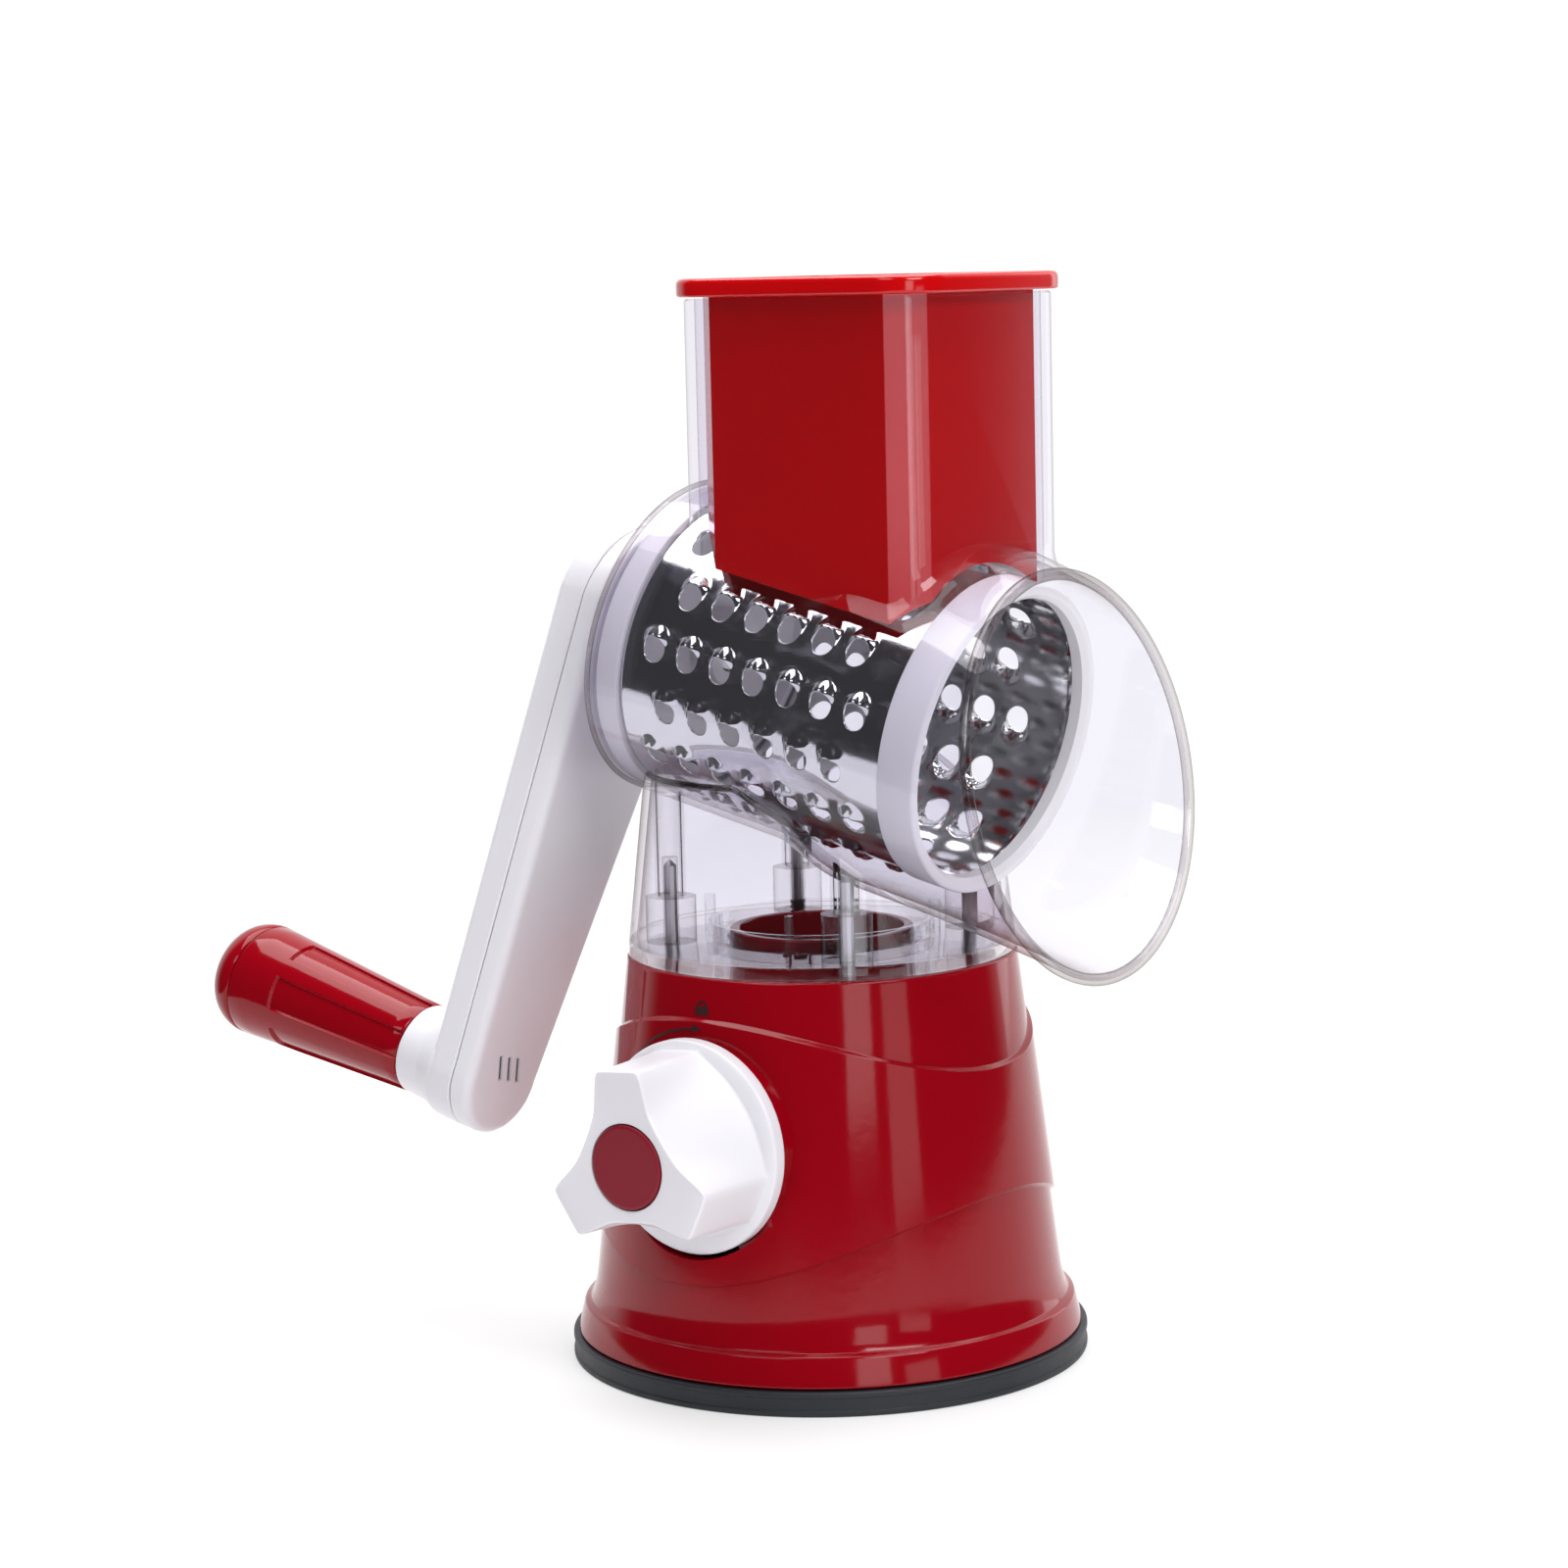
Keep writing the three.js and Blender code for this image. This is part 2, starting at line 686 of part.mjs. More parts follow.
function drumFrontRing() {
  const s = BARREL_S[1] + GAP;
  const spigot = BARREL_R - BARREL_WALL - 0.25;
  return turnedX([
    [RING_BORE, s - 4],
    [spigot, s - 4],
    [spigot, s],
    [RING_R, s],
    [RING_R, RING_END - 0.6],
    [RING_R - 0.6, RING_END],
    [RING_R - 1.6, RING_END],
    [RING_BORE, RING_END - 3.9],
  ]);
}

function hexagon(flats, s0, s1) {
  return rodX(flats / Math.sqrt(3), s0, s1, 6);
}

function drumRearCap() {
  const s = BARREL_S[0] - GAP;
  const spigot = BARREL_R - BARREL_WALL - 0.25;
  const body = turnedX([
    [0, CAP_REAR + 1.2],
    [9, CAP_REAR + 1.2],
    [9, s - 2.2],
    [RING_R - 2, s - 2.2],
    [RING_R - 2, CAP_REAR],
    [RING_R, CAP_REAR],
    [RING_R, s],
    [spigot, s],
    [spigot, s + 3.6],
    [spigot - 2, s + 3.6],
    [spigot - 2, s],
    [9, s],
    [9, s + 6.6],
    [0, s + 6.6],
  ]);
  return cut(solid(body), hexagon(HEX_FLATS + 0.6, CAP_REAR - 2, s + 9).rotateX(-ARM_ANGLE));
}

// Crank pieces are drawn with the arm straight down (-Z) from the drum axis.
function armOutline(shrink) {
  const lean = Math.asin((ARM_HUB_R - ARM_END_R) / ARM_LENGTH);
  return [
    ...arc(0, 0, ARM_HUB_R - shrink, lean, Math.PI - lean, 12),
    ...arc(0, -ARM_LENGTH, ARM_END_R - shrink, Math.PI - lean, 2 * Math.PI + lean, 12),
  ];
}

// The arm's outline stood up in the plane across the drum axis, from s0 to s1.
function armSlab(shrink, s0, s1) {
  return prism(armOutline(shrink), s0, s1).applyMatrix4(
    new THREE.Matrix4().makeBasis(
      new THREE.Vector3(0, 1, 0), new THREE.Vector3(0, 0, 1), new THREE.Vector3(1, 0, 0),
    ),
  );
}

const bossEnd = GRIP_S[0] + GAP;

function crankArmOuter() {
  const [outer, joint] = ARM_S;
  const body = cut(solid(armSlab(0, outer, joint)), armSlab(ARM_WALL, outer + ARM_WALL, joint + 1));
  const boss = turnedX([
    [0, bossEnd],
    [GRIP_R[0], bossEnd],
    [ARM_END_R - 0.6, outer + 1],
    [ARM_END_R - ARM_WALL, outer + 1],
    [8, outer + 1],
    [8, joint - 3],
    [0, joint - 3],
  ], 32).translate(0, 0, -ARM_LENGTH);
  const hub = rodX(10, outer + 1, joint, 24);
  const bosses = ARM_SCREWS.map((z) => rodX(3.6, outer + 1, joint, 16).translate(0, 0, -z));
  const holes = ARM_SCREWS.flatMap((z) => [
    rodX(SCREW_R + GAP, outer - 1, joint + 1, 10).translate(0, 0, -z),
    rodX(3.2 + GAP, outer - 1, outer + 3, 16).translate(0, 0, -z),
  ]);
  return cut(
    body.add(joined(boss, hub, ...bosses)),
    rodX(JOURNAL_R + GAP, joint - 5, joint + 1),
    rodX(2.3, outer - 1, joint, 12),
    rodX(4.8, outer - 1, outer + 2.2, 24),
    rodX(PIN_R + GAP, bossEnd - 1, joint, 16).translate(0, 0, -ARM_LENGTH),
    ...holes,
  );
}

function crankArmInner() {
  const [, , joint, inner] = ARM_S;
  const body = cut(solid(armSlab(0, joint, inner)), armSlab(ARM_WALL, joint - 1, inner - ARM_WALL));
  const hub = rodX(10, joint, inner - 1, 24);
  const bosses = ARM_SCREWS.map((z) => rodX(3.6, joint, inner - 1, 16).translate(0, 0, -z));
  const holes = ARM_SCREWS.map((z) => rodX(SCREW_R + GAP, joint - 1, inner - 1, 10).translate(0, 0, -z));
  // three short slots near the end of the arm
  const slots = [-1, 0, 1].map((i) => {
    const slot = box(inner - 1, inner + 1, -0.55, 0.55, -2.6, 2.6).rotateX(ARM_ANGLE);
    return slot.translate(0, i * 3.4, -ARM_LENGTH + 3.5);
  });
  return cut(
    body.add(joined(hub, ...bosses)),
    rodX(JOURNAL_R + GAP, joint - 1, inner + 1),
    ...holes,
    ...slots,
  );
}

function armScrew(z) {
  const seat = ARM_S[0] + 3 - GAP;
  const body = screw(seat, ARM_S[3] - 2, 3.2, SCREW_R).rotateY(Math.PI / 2);
  return body.translate(0, 0, -z);
}

function driveShaft() {
  const joint = ARM_S[1];
  const body = joined(
    rodX(JOURNAL_R, joint - 4.6, CHAMBER_REAR + 2.9),
    rodX(9.5, ARM_S[3] + GAP, CHAMBER_REAR - 2.6),
    hexagon(HEX_FLATS, CHAMBER_REAR + 2.5, -25.5),
  );
  return cut(body, rodX(2.3, joint - 6, joint + 8, 12));
}

function shaftScrew() {
  const seat = ARM_S[0] + 2.2 - GAP;
  return turnedX([
    [0, seat - 1.8],
    [4.4, seat - 1.8],
    [4.4, seat],
    [2, seat],
    [2, ARM_S[1] + 6],
    [0, ARM_S[1] + 7],
  ], 16);
}

function handlePin() {
  const head = ARM_S[1] - 3 + GAP;
  const body = solid(turnedX([
    [0, GRIP_S[1] + 2],
    [PIN_R, GRIP_S[1] + 2],
    [PIN_R, head],
    [5, head],
    [5, head + 2],
    [0, head + 2],
  ], 16));
  const bore = rodX(SCREW_R + 0.2, GRIP_S[1], GRIP_S[1] + 12, 12);
  return cut(body, bore).translate([0, 0, -ARM_LENGTH]);
}

function gripSleeve() {
  const [s0, s1] = GRIP_S;
  const bore = PIN_R + RUN;
  return turnedX([
    [bore, s0],
    [GRIP_R[0], s0],
    [GRIP_R[1], s1 + 4],
    [GRIP_R[1], s1],
    [9, s1],
    [9, s1 + 8],
    [bore, s1 + 8],
  ], 28).translate(0, 0, -ARM_LENGTH);
}

function gripEndCap() {
  const rim = GRIP_S[1] - GAP;
  const length = rim - GRIP_END;
  const dome = [];
  for (let i = 0; i <= 5; i += 1) {
    const angle = (i / 5) * (Math.PI / 2);
    dome.push([GRIP_R[1] * Math.cos(angle) ** 0.8, rim - length * Math.sin(angle)]);
  }
  dome[5][0] = 0;
  return turnedX([
    ...dome,
    [0, rim - 3],
    [8.6, rim - 3],
    [8.6, rim + 4],
    [8.7, rim + 4],
    [8.7, rim],
  ].reverse(), 28).translate(0, 0, -ARM_LENGTH);
}

function gripScrew() {
  const seat = GRIP_S[1] + 2 - GAP;
  const body = screw(seat, seat + 10, 4.6, SCREW_R).rotateY(Math.PI / 2);
  return body.translate(0, 0, -ARM_LENGTH);
}

// ---------------------------------------------------------------- pusher

function pusher() {
  const low = AXIS_Z + 10;
  const saddle = (radius) => onDrumAxis(rodX(radius, -80, 90, 40));
  const shaft = solid(column(PUSHER_HALF, PUSHER_CORNER, 0, low, FLANGE_Z[0] + 1));
  const outer = cut(shaft, saddle(PUSHER_SADDLE_R));
  const flange = solid(column(FLANGE_HALF, FLANGE_CORNER, 0, ...FLANGE_Z));
  const hollow = cut(
    solid(column(PUSHER_HALF, PUSHER_CORNER, -PUSHER_WALL, low, FLANGE_Z[1] + 1)),
    saddle(PUSHER_SADDLE_R + PUSHER_WALL),
  );
  return outer.add(flange).subtract(hollow);
}

// ---------------------------------------------------------------- assembly

const grater = new THREE.Group();

grater.add(piece('suction_pad', suctionPad(), coloured(...RUBBER)));
grater.add(piece('pad_retainer', padRetainer(), coloured(...GREY)));
corners.forEach(([sx, sy], i) => {
  const mesh = piece(`retainer_screw_${i + 1}`, screw(retainerSeat - GAP, 23), coloured(...ZINC));
  mesh.position.set(sx * retainerScrewAt * diagonal, sy * retainerScrewAt * diagonal, 0);
  grater.add(mesh);
});
grater.add(piece('base_shell', baseShell(), coloured(...DEEP_RED)));

const lock = new THREE.Group();
lock.position.set(0, 0, KNOB_Z);
lock.add(piece('cam_shaft', camShaft(), coloured(...GREY)));
lock.add(piece('lift_cam', liftCam(), coloured(...WHITE)));
lock.add(piece('lock_knob', lockKnob(), coloured(...WHITE)));
lock.add(piece('knob_cap', knobCap(), coloured(...DEEP_RED)));
lock.add(piece('knob_screw', knobScrew(), coloured(...ZINC)));
grater.add(lock);

grater.add(piece('lift_yoke', liftYoke(), coloured(...WHITE)));
grater.add(piece('pull_stud', pullStud(), coloured(...ZINC)));
grater.add(piece('lock_nut', lockNut(), coloured(...ZINC)));

grater.add(piece('clear_deck', clearDeck(), coloured(...CLEAR)));
corners.forEach(([sx, sy], i) => {
  const underPlate = BASE_TOP_Z - TOP_PLATE - GAP;
  const mesh = piece(`housing_screw_${i + 1}`, screw(underPlate, 120), coloured(...ZINC));
  mesh.position.set(sx * POST_AT, sy * POST_AT, 0);
  grater.add(mesh);
});
grater.add(piece('clear_housing', clearHousing(), coloured(...CLEAR)));

const axis = new THREE.Group();
axis.position.set(0, 0, AXIS_Z);
axis.rotation.y = TILT;
axis.add(piece('rear_bush', rearBush(), coloured(...WHITE)));
axis.add(piece('drum_barrel', drumBarrel(), coloured(...STEEL)));
axis.add(piece('drum_front_ring', drumFrontRing(), coloured(...WHITE)));
axis.add(piece('drum_rear_cap', drumRearCap(), coloured(...WHITE)));

const crank = new THREE.Group();
crank.rotation.x = -ARM_ANGLE;
crank.add(piece('crank_arm_outer', crankArmOuter(), coloured(...WHITE)));
crank.add(piece('crank_arm_inner', crankArmInner(), coloured(...WHITE)));
ARM_SCREWS.forEach((z, i) => crank.add(piece(`arm_screw_${i + 1}`, armScrew(z), coloured(...ZINC))));
crank.add(piece('drive_shaft', driveShaft(), coloured(...ZINC)));
crank.add(piece('shaft_screw', shaftScrew(), coloured(...ZINC)));
crank.add(piece('handle_pin', handlePin(), coloured(...ZINC)));
crank.add(piece('grip_sleeve', gripSleeve(), coloured(...RED)));
crank.add(piece('grip_end_cap', gripEndCap(), coloured(...RED)));
crank.add(piece('grip_screw', gripScrew(), coloured(...ZINC)));
axis.add(crank);
grater.add(axis);

grater.add(piece('pusher', pusher(), coloured(...RED)));

export default grater;
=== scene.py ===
"""Rotary drum grater on a suction base: the visual model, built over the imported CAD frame."""

import json
import math

import bmesh
import bpy
import numpy as np
from mathutils import Matrix, Vector


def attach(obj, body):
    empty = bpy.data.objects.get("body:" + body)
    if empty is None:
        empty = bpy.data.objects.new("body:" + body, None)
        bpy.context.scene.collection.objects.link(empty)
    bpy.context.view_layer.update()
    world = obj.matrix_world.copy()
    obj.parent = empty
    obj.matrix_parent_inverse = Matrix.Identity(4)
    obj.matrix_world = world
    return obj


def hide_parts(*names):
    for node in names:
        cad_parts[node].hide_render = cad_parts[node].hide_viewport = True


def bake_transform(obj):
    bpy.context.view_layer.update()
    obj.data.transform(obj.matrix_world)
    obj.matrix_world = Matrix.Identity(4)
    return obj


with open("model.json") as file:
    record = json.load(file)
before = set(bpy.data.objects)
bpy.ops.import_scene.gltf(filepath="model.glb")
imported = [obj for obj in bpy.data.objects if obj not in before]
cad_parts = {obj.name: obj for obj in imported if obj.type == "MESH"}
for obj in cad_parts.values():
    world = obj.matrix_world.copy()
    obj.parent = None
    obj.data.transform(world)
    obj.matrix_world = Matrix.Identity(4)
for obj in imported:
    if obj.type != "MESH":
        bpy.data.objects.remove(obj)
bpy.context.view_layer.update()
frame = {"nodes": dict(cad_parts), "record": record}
bpy.context.scene.view_settings.view_transform = "Standard"
DARK = 0.06  # brightness of the studio's unlit walls
FLOOR_GLOW = 0.47  # light the floor gives off, so that it reads as white

# ------------------------------------------------------------------ dimensions, millimetres

AXIS_Z = 161.9  # height of the drum's axis over the base's middle
TILT = math.radians(13)  # how far the drum falls towards its outlet
ARM_ANGLE = math.radians(15.1)
ARM_LENGTH = 118.5
KNOB_Z = 59.0
POST_AT = 25.5  # x and y of the four posts
SCREW_BORE = 1.9
VIEW = Vector((-0.585, 0.811, 0))  # level, from the camera to the object
SIDE = Vector((0.811, 0.585, 0))  # level, to the right as seen from the camera

drum_frame = Matrix.Translation((0, 0, AXIS_Z)) @ Matrix.Rotation(TILT, 4, "Y")
crank_frame = drum_frame @ Matrix.Rotation(-ARM_ANGLE, 4, "X")
to_drum = drum_frame.inverted()
x_axis = Matrix.Rotation(math.pi / 2, 4, "Y")  # turns a piece drawn along Z to lie along X

# ------------------------------------------------------------------ mesh helpers


def mesh_object(name, verts, faces, matrix=None):
    """A mesh in millimetres, moved by matrix."""
    mesh = bpy.data.meshes.new(name)
    mesh.from_pydata([tuple(v) for v in verts], [], faces)
    if matrix is not None:
        mesh.transform(matrix)
    mesh.update()
    obj = bpy.data.objects.new(name, mesh)
    bpy.context.scene.collection.objects.link(obj)
    bm = bmesh.new()
    bm.from_mesh(mesh)
    bmesh.ops.recalc_face_normals(bm, faces=bm.faces)
    if bm.calc_volume(signed=True) < 0:
        bmesh.ops.reverse_faces(bm, faces=bm.faces)
    bm.to_mesh(mesh)
    bm.free()
    return obj


def fillet(points, radius, steps=5):
    """Rounds a polyline's corners. A point may carry its own radius as a third number."""
    out = []
    count = len(points)
    for i, p in enumerate(points):
        r = p[2] if len(p) > 2 else radius
        here = np.array(p[:2], float)
        if i in (0, count - 1) or r <= 0:
            out.append(tuple(here))
            continue
        before = np.array(points[i - 1][:2], float) - here
        after = np.array(points[i + 1][:2], float) - here
        la, lb = np.linalg.norm(before), np.linalg.norm(after)
        ua, ub = before / la, after / lb
        angle = math.acos(max(-1, min(1, float(ua @ ub))))
        if angle > math.pi - 0.02:
            out.append(tuple(here))
            continue
        reach = min(r / math.tan(angle / 2), 0.49 * la, 0.49 * lb)
        a, b = here + ua * reach, here + ub * reach
        for k in range(steps + 1):
            t = k / steps
            q = (1 - t) ** 2 * a + 2 * t * (1 - t) * here + t**2 * b
            out.append((float(q[0]), float(q[1])))
    return out


def lathe(name, profile, segments=128, matrix=None, shape=None):
    """Solid of revolution about Z. shape(radius, height, angle) may move a point's radius."""
    closed = profile[0][0] > 1e-6
    verts, faces, rings = [], [], []
    for r, z in profile:
        if r < 1e-6:
            rings.append([len(verts)])
            verts.append((0, 0, z))
            continue
        ring = []
        for i in range(segments):
            a = 2 * math.pi * i / segments
            q, h = (r, z) if shape is None else shape(r, z, a)
            ring.append(len(verts))
            verts.append((q * math.cos(a), q * math.sin(a), h))
        rings.append(ring)
    pairs = list(zip(rings, rings[1:]))
    if closed:
        pairs.append((rings[-1], rings[0]))
    for low, high in pairs:
        faces.extend(band(low, high))
    return mesh_object(name, verts, faces, matrix)


def band(low, high):
    """Faces between two closed rings of vertex indices, either of which may be one point."""
    if len(low) == 1 and len(high) == 1:
        return []
    n = max(len(low), len(high))
    if len(low) == 1:
        return [(low[0], high[(i + 1) % n], high[i]) for i in range(n)]
    if len(high) == 1:
        return [(low[i], low[(i + 1) % n], high[0]) for i in range(n)]
    return [(low[i], low[(i + 1) % n], high[(i + 1) % n], high[i]) for i in range(n)]


def loft(name, rings, matrix=None):
    """Skin through rings of points of equal count, closed at both ends."""
    verts = [p for ring in rings for p in ring]
    n = len(rings[0])
    faces = []
    for k in range(len(rings) - 1):
        faces.extend(band(range(k * n, k * n + n), range((k + 1) * n, (k + 1) * n + n)))
    faces.append(tuple(range(n))[::-1])
    faces.append(tuple(range((len(rings) - 1) * n, len(rings) * n)))
    return mesh_object(name, verts, faces, matrix)


def boolean(obj, others, operation="DIFFERENCE"):
    """obj less, or plus, the others, which are used up."""
    for other in others:
        modifier = obj.modifiers.new("cut", "BOOLEAN")
        modifier.operation = operation
        modifier.object = other
        modifier.solver = "MANIFOLD"
        graph = bpy.context.evaluated_depsgraph_get()
        made = bpy.data.meshes.new_from_object(obj.evaluated_get(graph))
        obj.modifiers.clear()
        old = obj.data
        obj.data = made
        bpy.data.meshes.remove(old)
        bpy.data.objects.remove(other)
    return obj


def box(name, low, high, matrix=None):
    (x0, y0, z0), (x1, y1, z1) = low, high
    ring = [(x0, y0), (x1, y0), (x1, y1), (x0, y1)]
    return loft(name, [[(x, y, z) for x, y in ring] for z in (z0, z1)], matrix)


def rod(name, radius, z0, z1, segments=48, matrix=None):
    return lathe(name, [(0, z0), (radius, z0), (radius, z1), (0, z1)], segments, matrix)


def piece(obj, body, nodes, material, sharp=32, bevel=0.0):
    """Finishes a mesh drawn in millimetres as a piece of the object."""
    obj.data.transform(Matrix.Scale(0.001, 4))
    if bevel:
        modifier = obj.modifiers.new("edge", "BEVEL")
        modifier.width = bevel * 0.001
        modifier.segments = 2
        modifier.limit_method = "ANGLE"
        modifier.angle_limit = math.radians(40)
    obj.data.materials.clear()
    obj.data.materials.append(material)
    obj.data.shade_smooth()
    obj.data.set_sharp_from_angle(angle=math.radians(sharp))
    if body:
        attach(obj, body)
    if nodes:
        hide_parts(*nodes)
    return obj


# ------------------------------------------------------------------ materials


class Nodes:
    """A material's node tree, written one node per call."""

    def __init__(self, name):
        self.material = bpy.data.materials.new(name)
        self.material.use_nodes = True
        self.tree = self.material.node_tree
        self.shader = self.tree.nodes["Principled BSDF"]
        self.coordinates = self.add("ShaderNodeTexCoord")

    def add(self, kind, **values):
        node = self.tree.nodes.new(kind)
        for key, value in values.items():
            if key in node.inputs:
                node.inputs[key].default_value = value
            else:
                setattr(node, key, value)
        return node

    def link(self, a, b):
        self.tree.links.new(a, b)

    def noise(self, scale, detail=3.0, stretch=None):
        node = self.add("ShaderNodeTexNoise", Scale=scale, Detail=detail)
        source = self.coordinates.outputs["Object"]
        if stretch is not None:
            mapping = self.add("ShaderNodeMapping")
            mapping.inputs["Scale"].default_value = stretch
            self.link(source, mapping.inputs["Vector"])
            source = mapping.outputs["Vector"]
        self.link(source, node.inputs["Vector"])
        return node.outputs["Fac"]

    def between(self, value, low, high):
        node = self.add("ShaderNodeMapRange")
        node.inputs["To Min"].default_value = low
        node.inputs["To Max"].default_value = high
        self.link(value, node.inputs["Value"])
        return node.outputs["Result"]

    def blend(self, value, low, high):
        node = self.add("ShaderNodeMix", data_type="RGBA")
        for socket in node.inputs:
            if socket.identifier == "A_Color":
                socket.default_value = (*low, 1)
            if socket.identifier == "B_Color":
                socket.default_value = (*high, 1)
        self.link(value, node.inputs["Factor"])
        return next(s for s in node.outputs if s.identifier == "Result_Color")

    def bump(self, value, strength, distance):
        node = self.add("ShaderNodeBump", Strength=strength, Distance=distance)
        self.link(value, node.inputs["Height"])
        self.link(node.outputs["Normal"], self.shader.inputs["Normal"])

    def set(self, **values):
        for key, value in values.items():
            self.shader.inputs[key.replace("_", " ")].default_value = value


def plastic(name, low, high, roughness, subsurface=0.0, grain=0.05, specular=0.5):
    n = Nodes(name)
    n.link(n.blend(n.noise(28, 4), low, high), n.shader.inputs["Base Color"])
    n.link(n.between(n.noise(160, 5), roughness * 0.82, roughness * 1.2), n.shader.inputs["Roughness"])
    n.bump(n.noise(420, 3), grain, 0.0002)
    n.set(IOR=1.5, Specular_IOR_Level=specular)
    if subsurface:
        n.set(Subsurface_Weight=subsurface, Subsurface_Scale=0.004, Subsurface_Radius=(1.0, 0.9, 0.85))
    return n.material


def steel(name, stretch, low, high, roughness):
    """Polished or plated steel with fine drawn lines."""
    n = Nodes(name)
    lines = n.noise(900, 3, stretch)
    n.link(n.blend(n.noise(45, 4), low, high), n.shader.inputs["Base Color"])
    n.link(n.between(lines, roughness * 0.7, roughness * 1.4), n.shader.inputs["Roughness"])
    n.bump(lines, 0.05, 0.00008)
    n.set(Metallic=1.0)
    return n.material


def rubber(name):
    n = Nodes(name)
    colour = n.blend(n.noise(60, 5), (0.006, 0.008, 0.012), (0.012, 0.015, 0.021))
    n.link(colour, n.shader.inputs["Base Color"])
    n.link(n.between(n.noise(240, 4), 0.42, 0.62), n.shader.inputs["Roughness"])
    n.bump(n.noise(700, 4), 0.18, 0.0003)
    return n.material


def clear(name, face, edge_colour, power, most_gloss=0.5, gloss_power=5.0):
    """Clear styrene: a face lets through the colour face, and edge_colour at a grazing angle."""
    n = Nodes(name)
    n.tree.nodes.remove(n.shader)
    facing = n.add("ShaderNodeLayerWeight", Blend=0.5)
    edge = n.add("ShaderNodeMath", operation="POWER")
    edge.inputs[1].default_value = power
    n.link(facing.outputs["Facing"], edge.inputs[0])
    see_through = n.add("ShaderNodeBsdfTransparent")
    n.link(n.blend(edge.outputs["Value"], face, edge_colour), see_through.inputs["Color"])
    gloss = n.add("ShaderNodeBsdfGlossy", Color=(0.97, 0.97, 0.985, 1))
    n.link(n.between(n.noise(90, 3), 0.02, 0.05), gloss.inputs["Roughness"])
    ripple = n.add("ShaderNodeBump", Strength=0.04, Distance=0.0004)
    n.link(n.noise(35, 2), ripple.inputs["Height"])
    n.link(ripple.outputs["Normal"], gloss.inputs["Normal"])
    grazing = n.add("ShaderNodeMath", operation="POWER")
    grazing.inputs[1].default_value = gloss_power
    n.link(facing.outputs["Facing"], grazing.inputs[0])
    mix = n.add("ShaderNodeMixShader")
    n.link(n.between(grazing.outputs["Value"], 0.03, most_gloss), mix.inputs["Fac"])
    n.link(see_through.outputs["BSDF"], mix.inputs[1])
    n.link(gloss.outputs["BSDF"], mix.inputs[2])
    out = next(node for node in n.tree.nodes if node.type == "OUTPUT_MATERIAL")
    n.link(mix.outputs["Shader"], out.inputs["Surface"])
    return n.material


RED = plastic("red_plastic", (0.25, 0.0003, 0.0048), (0.285, 0.0004, 0.0065), 0.09, specular=0.3)
# Dark grey for the insides of the arm's slots: painted shade, not a grey part.
SHADE = plastic("painted_slot_shade", (0.05, 0.05, 0.055), (0.08, 0.08, 0.085), 0.6)
DISC_RED = plastic(
    "knob_disc_red", (0.20, 0.003, 0.014), (0.23, 0.004, 0.018), 0.45, grain=0.1, specular=0.3)
BRIGHT_RED = plastic("bright_red_plastic", (0.54, 0.0006, 0.002), (0.61, 0.0008, 0.003), 0.12)
WHITE = plastic("white_plastic", (0.78, 0.765, 0.815), (0.81, 0.795, 0.845), 0.34, subsurface=0.1)
GREY = plastic("grey_plastic", (0.12, 0.12, 0.13), (0.17, 0.17, 0.18), 0.5, grain=0.12)
STEEL = steel("polished_steel", (0.2, 6.0, 6.0), (0.60, 0.61, 0.63), (0.70, 0.70, 0.71), 0.075)
ZINC = steel("zinc_plate", (1.0, 1.0, 6.0), (0.72, 0.72, 0.74), (0.84, 0.84, 0.86), 0.42)
RUBBER = rubber("black_rubber")
CLEAR = clear("clear_plastic", (0.945, 0.938, 0.967), (0.40, 0.35, 0.32), 6.0)
THICK = clear("clear_thick_plastic", (0.88, 0.865, 0.86), (0.24, 0.20, 0.17), 2.2)
POST = clear("clear_post_plastic", (0.965, 0.958, 0.965), (0.30, 0.26, 0.23), 4.0, 0.7)
DECK = clear("clear_deck_plastic", (0.965, 0.96, 0.972), (0.62, 0.58, 0.55), 9.0, 0.9, 3.2)
MARK = plastic("dark_print", (0.03, 0.004, 0.005), (0.05, 0.006, 0.008), 0.35)

for node, obj in frame["nodes"].items():
    slot = next(s["material_slot"] for s in frame["record"]["subparts"] if s["node"] == node)
    finish = {"red": RED, "bright_red": BRIGHT_RED, "white": WHITE, "clear": CLEAR,
              "grey": GREY, "black_rubber": RUBBER, "steel": STEEL, "zinc": ZINC}[slot]
    obj.data.materials.clear()
    obj.data.materials.append(finish)

# ------------------------------------------------------------------ base

FOOT_R = 60.7
LEDGE_R = 58.7
LEDGE_Z = 13.5
LOW_R = 56.6
TOP_R = 46.5
TOP_Z = 97.0
HUB_R = 22.0
HUB_Z = 102.5
BAND = 1.0  # how far the band between the two waves stands proud
KNOB_BACK = -50.6


def cone_radius(z):
    return LOW_R + (TOP_R - LOW_R) * (z - LEDGE_Z) / (TOP_Z - LEDGE_Z)


def upper_wave(a):
    return 80.2 + 6.9 * math.cos(2 * (a + math.pi / 2))


def lower_wave(a):
    return 36.2 - 8.9 * math.cos(2 * (a + math.radians(95)))


def base_wall():
    """(kind, fraction, proud) rows that follow the two waves up the wall."""
    rows = [("low", t, 0.0) for t in np.linspace(0, 1, 7)[1:]]
    rows += [("edge_low", t, t) for t in (0.3, 0.6, 1.0)]
    rows += [("mid", t, 1.0) for t in np.linspace(0, 1, 11)[1:]]
    rows += [("edge_high", t, 1 - t) for t in (0.35, 0.7, 1.0)]
    rows += [("high", t, 0.0) for t in np.linspace(0, 1, 7)[1:-1]]
    return rows


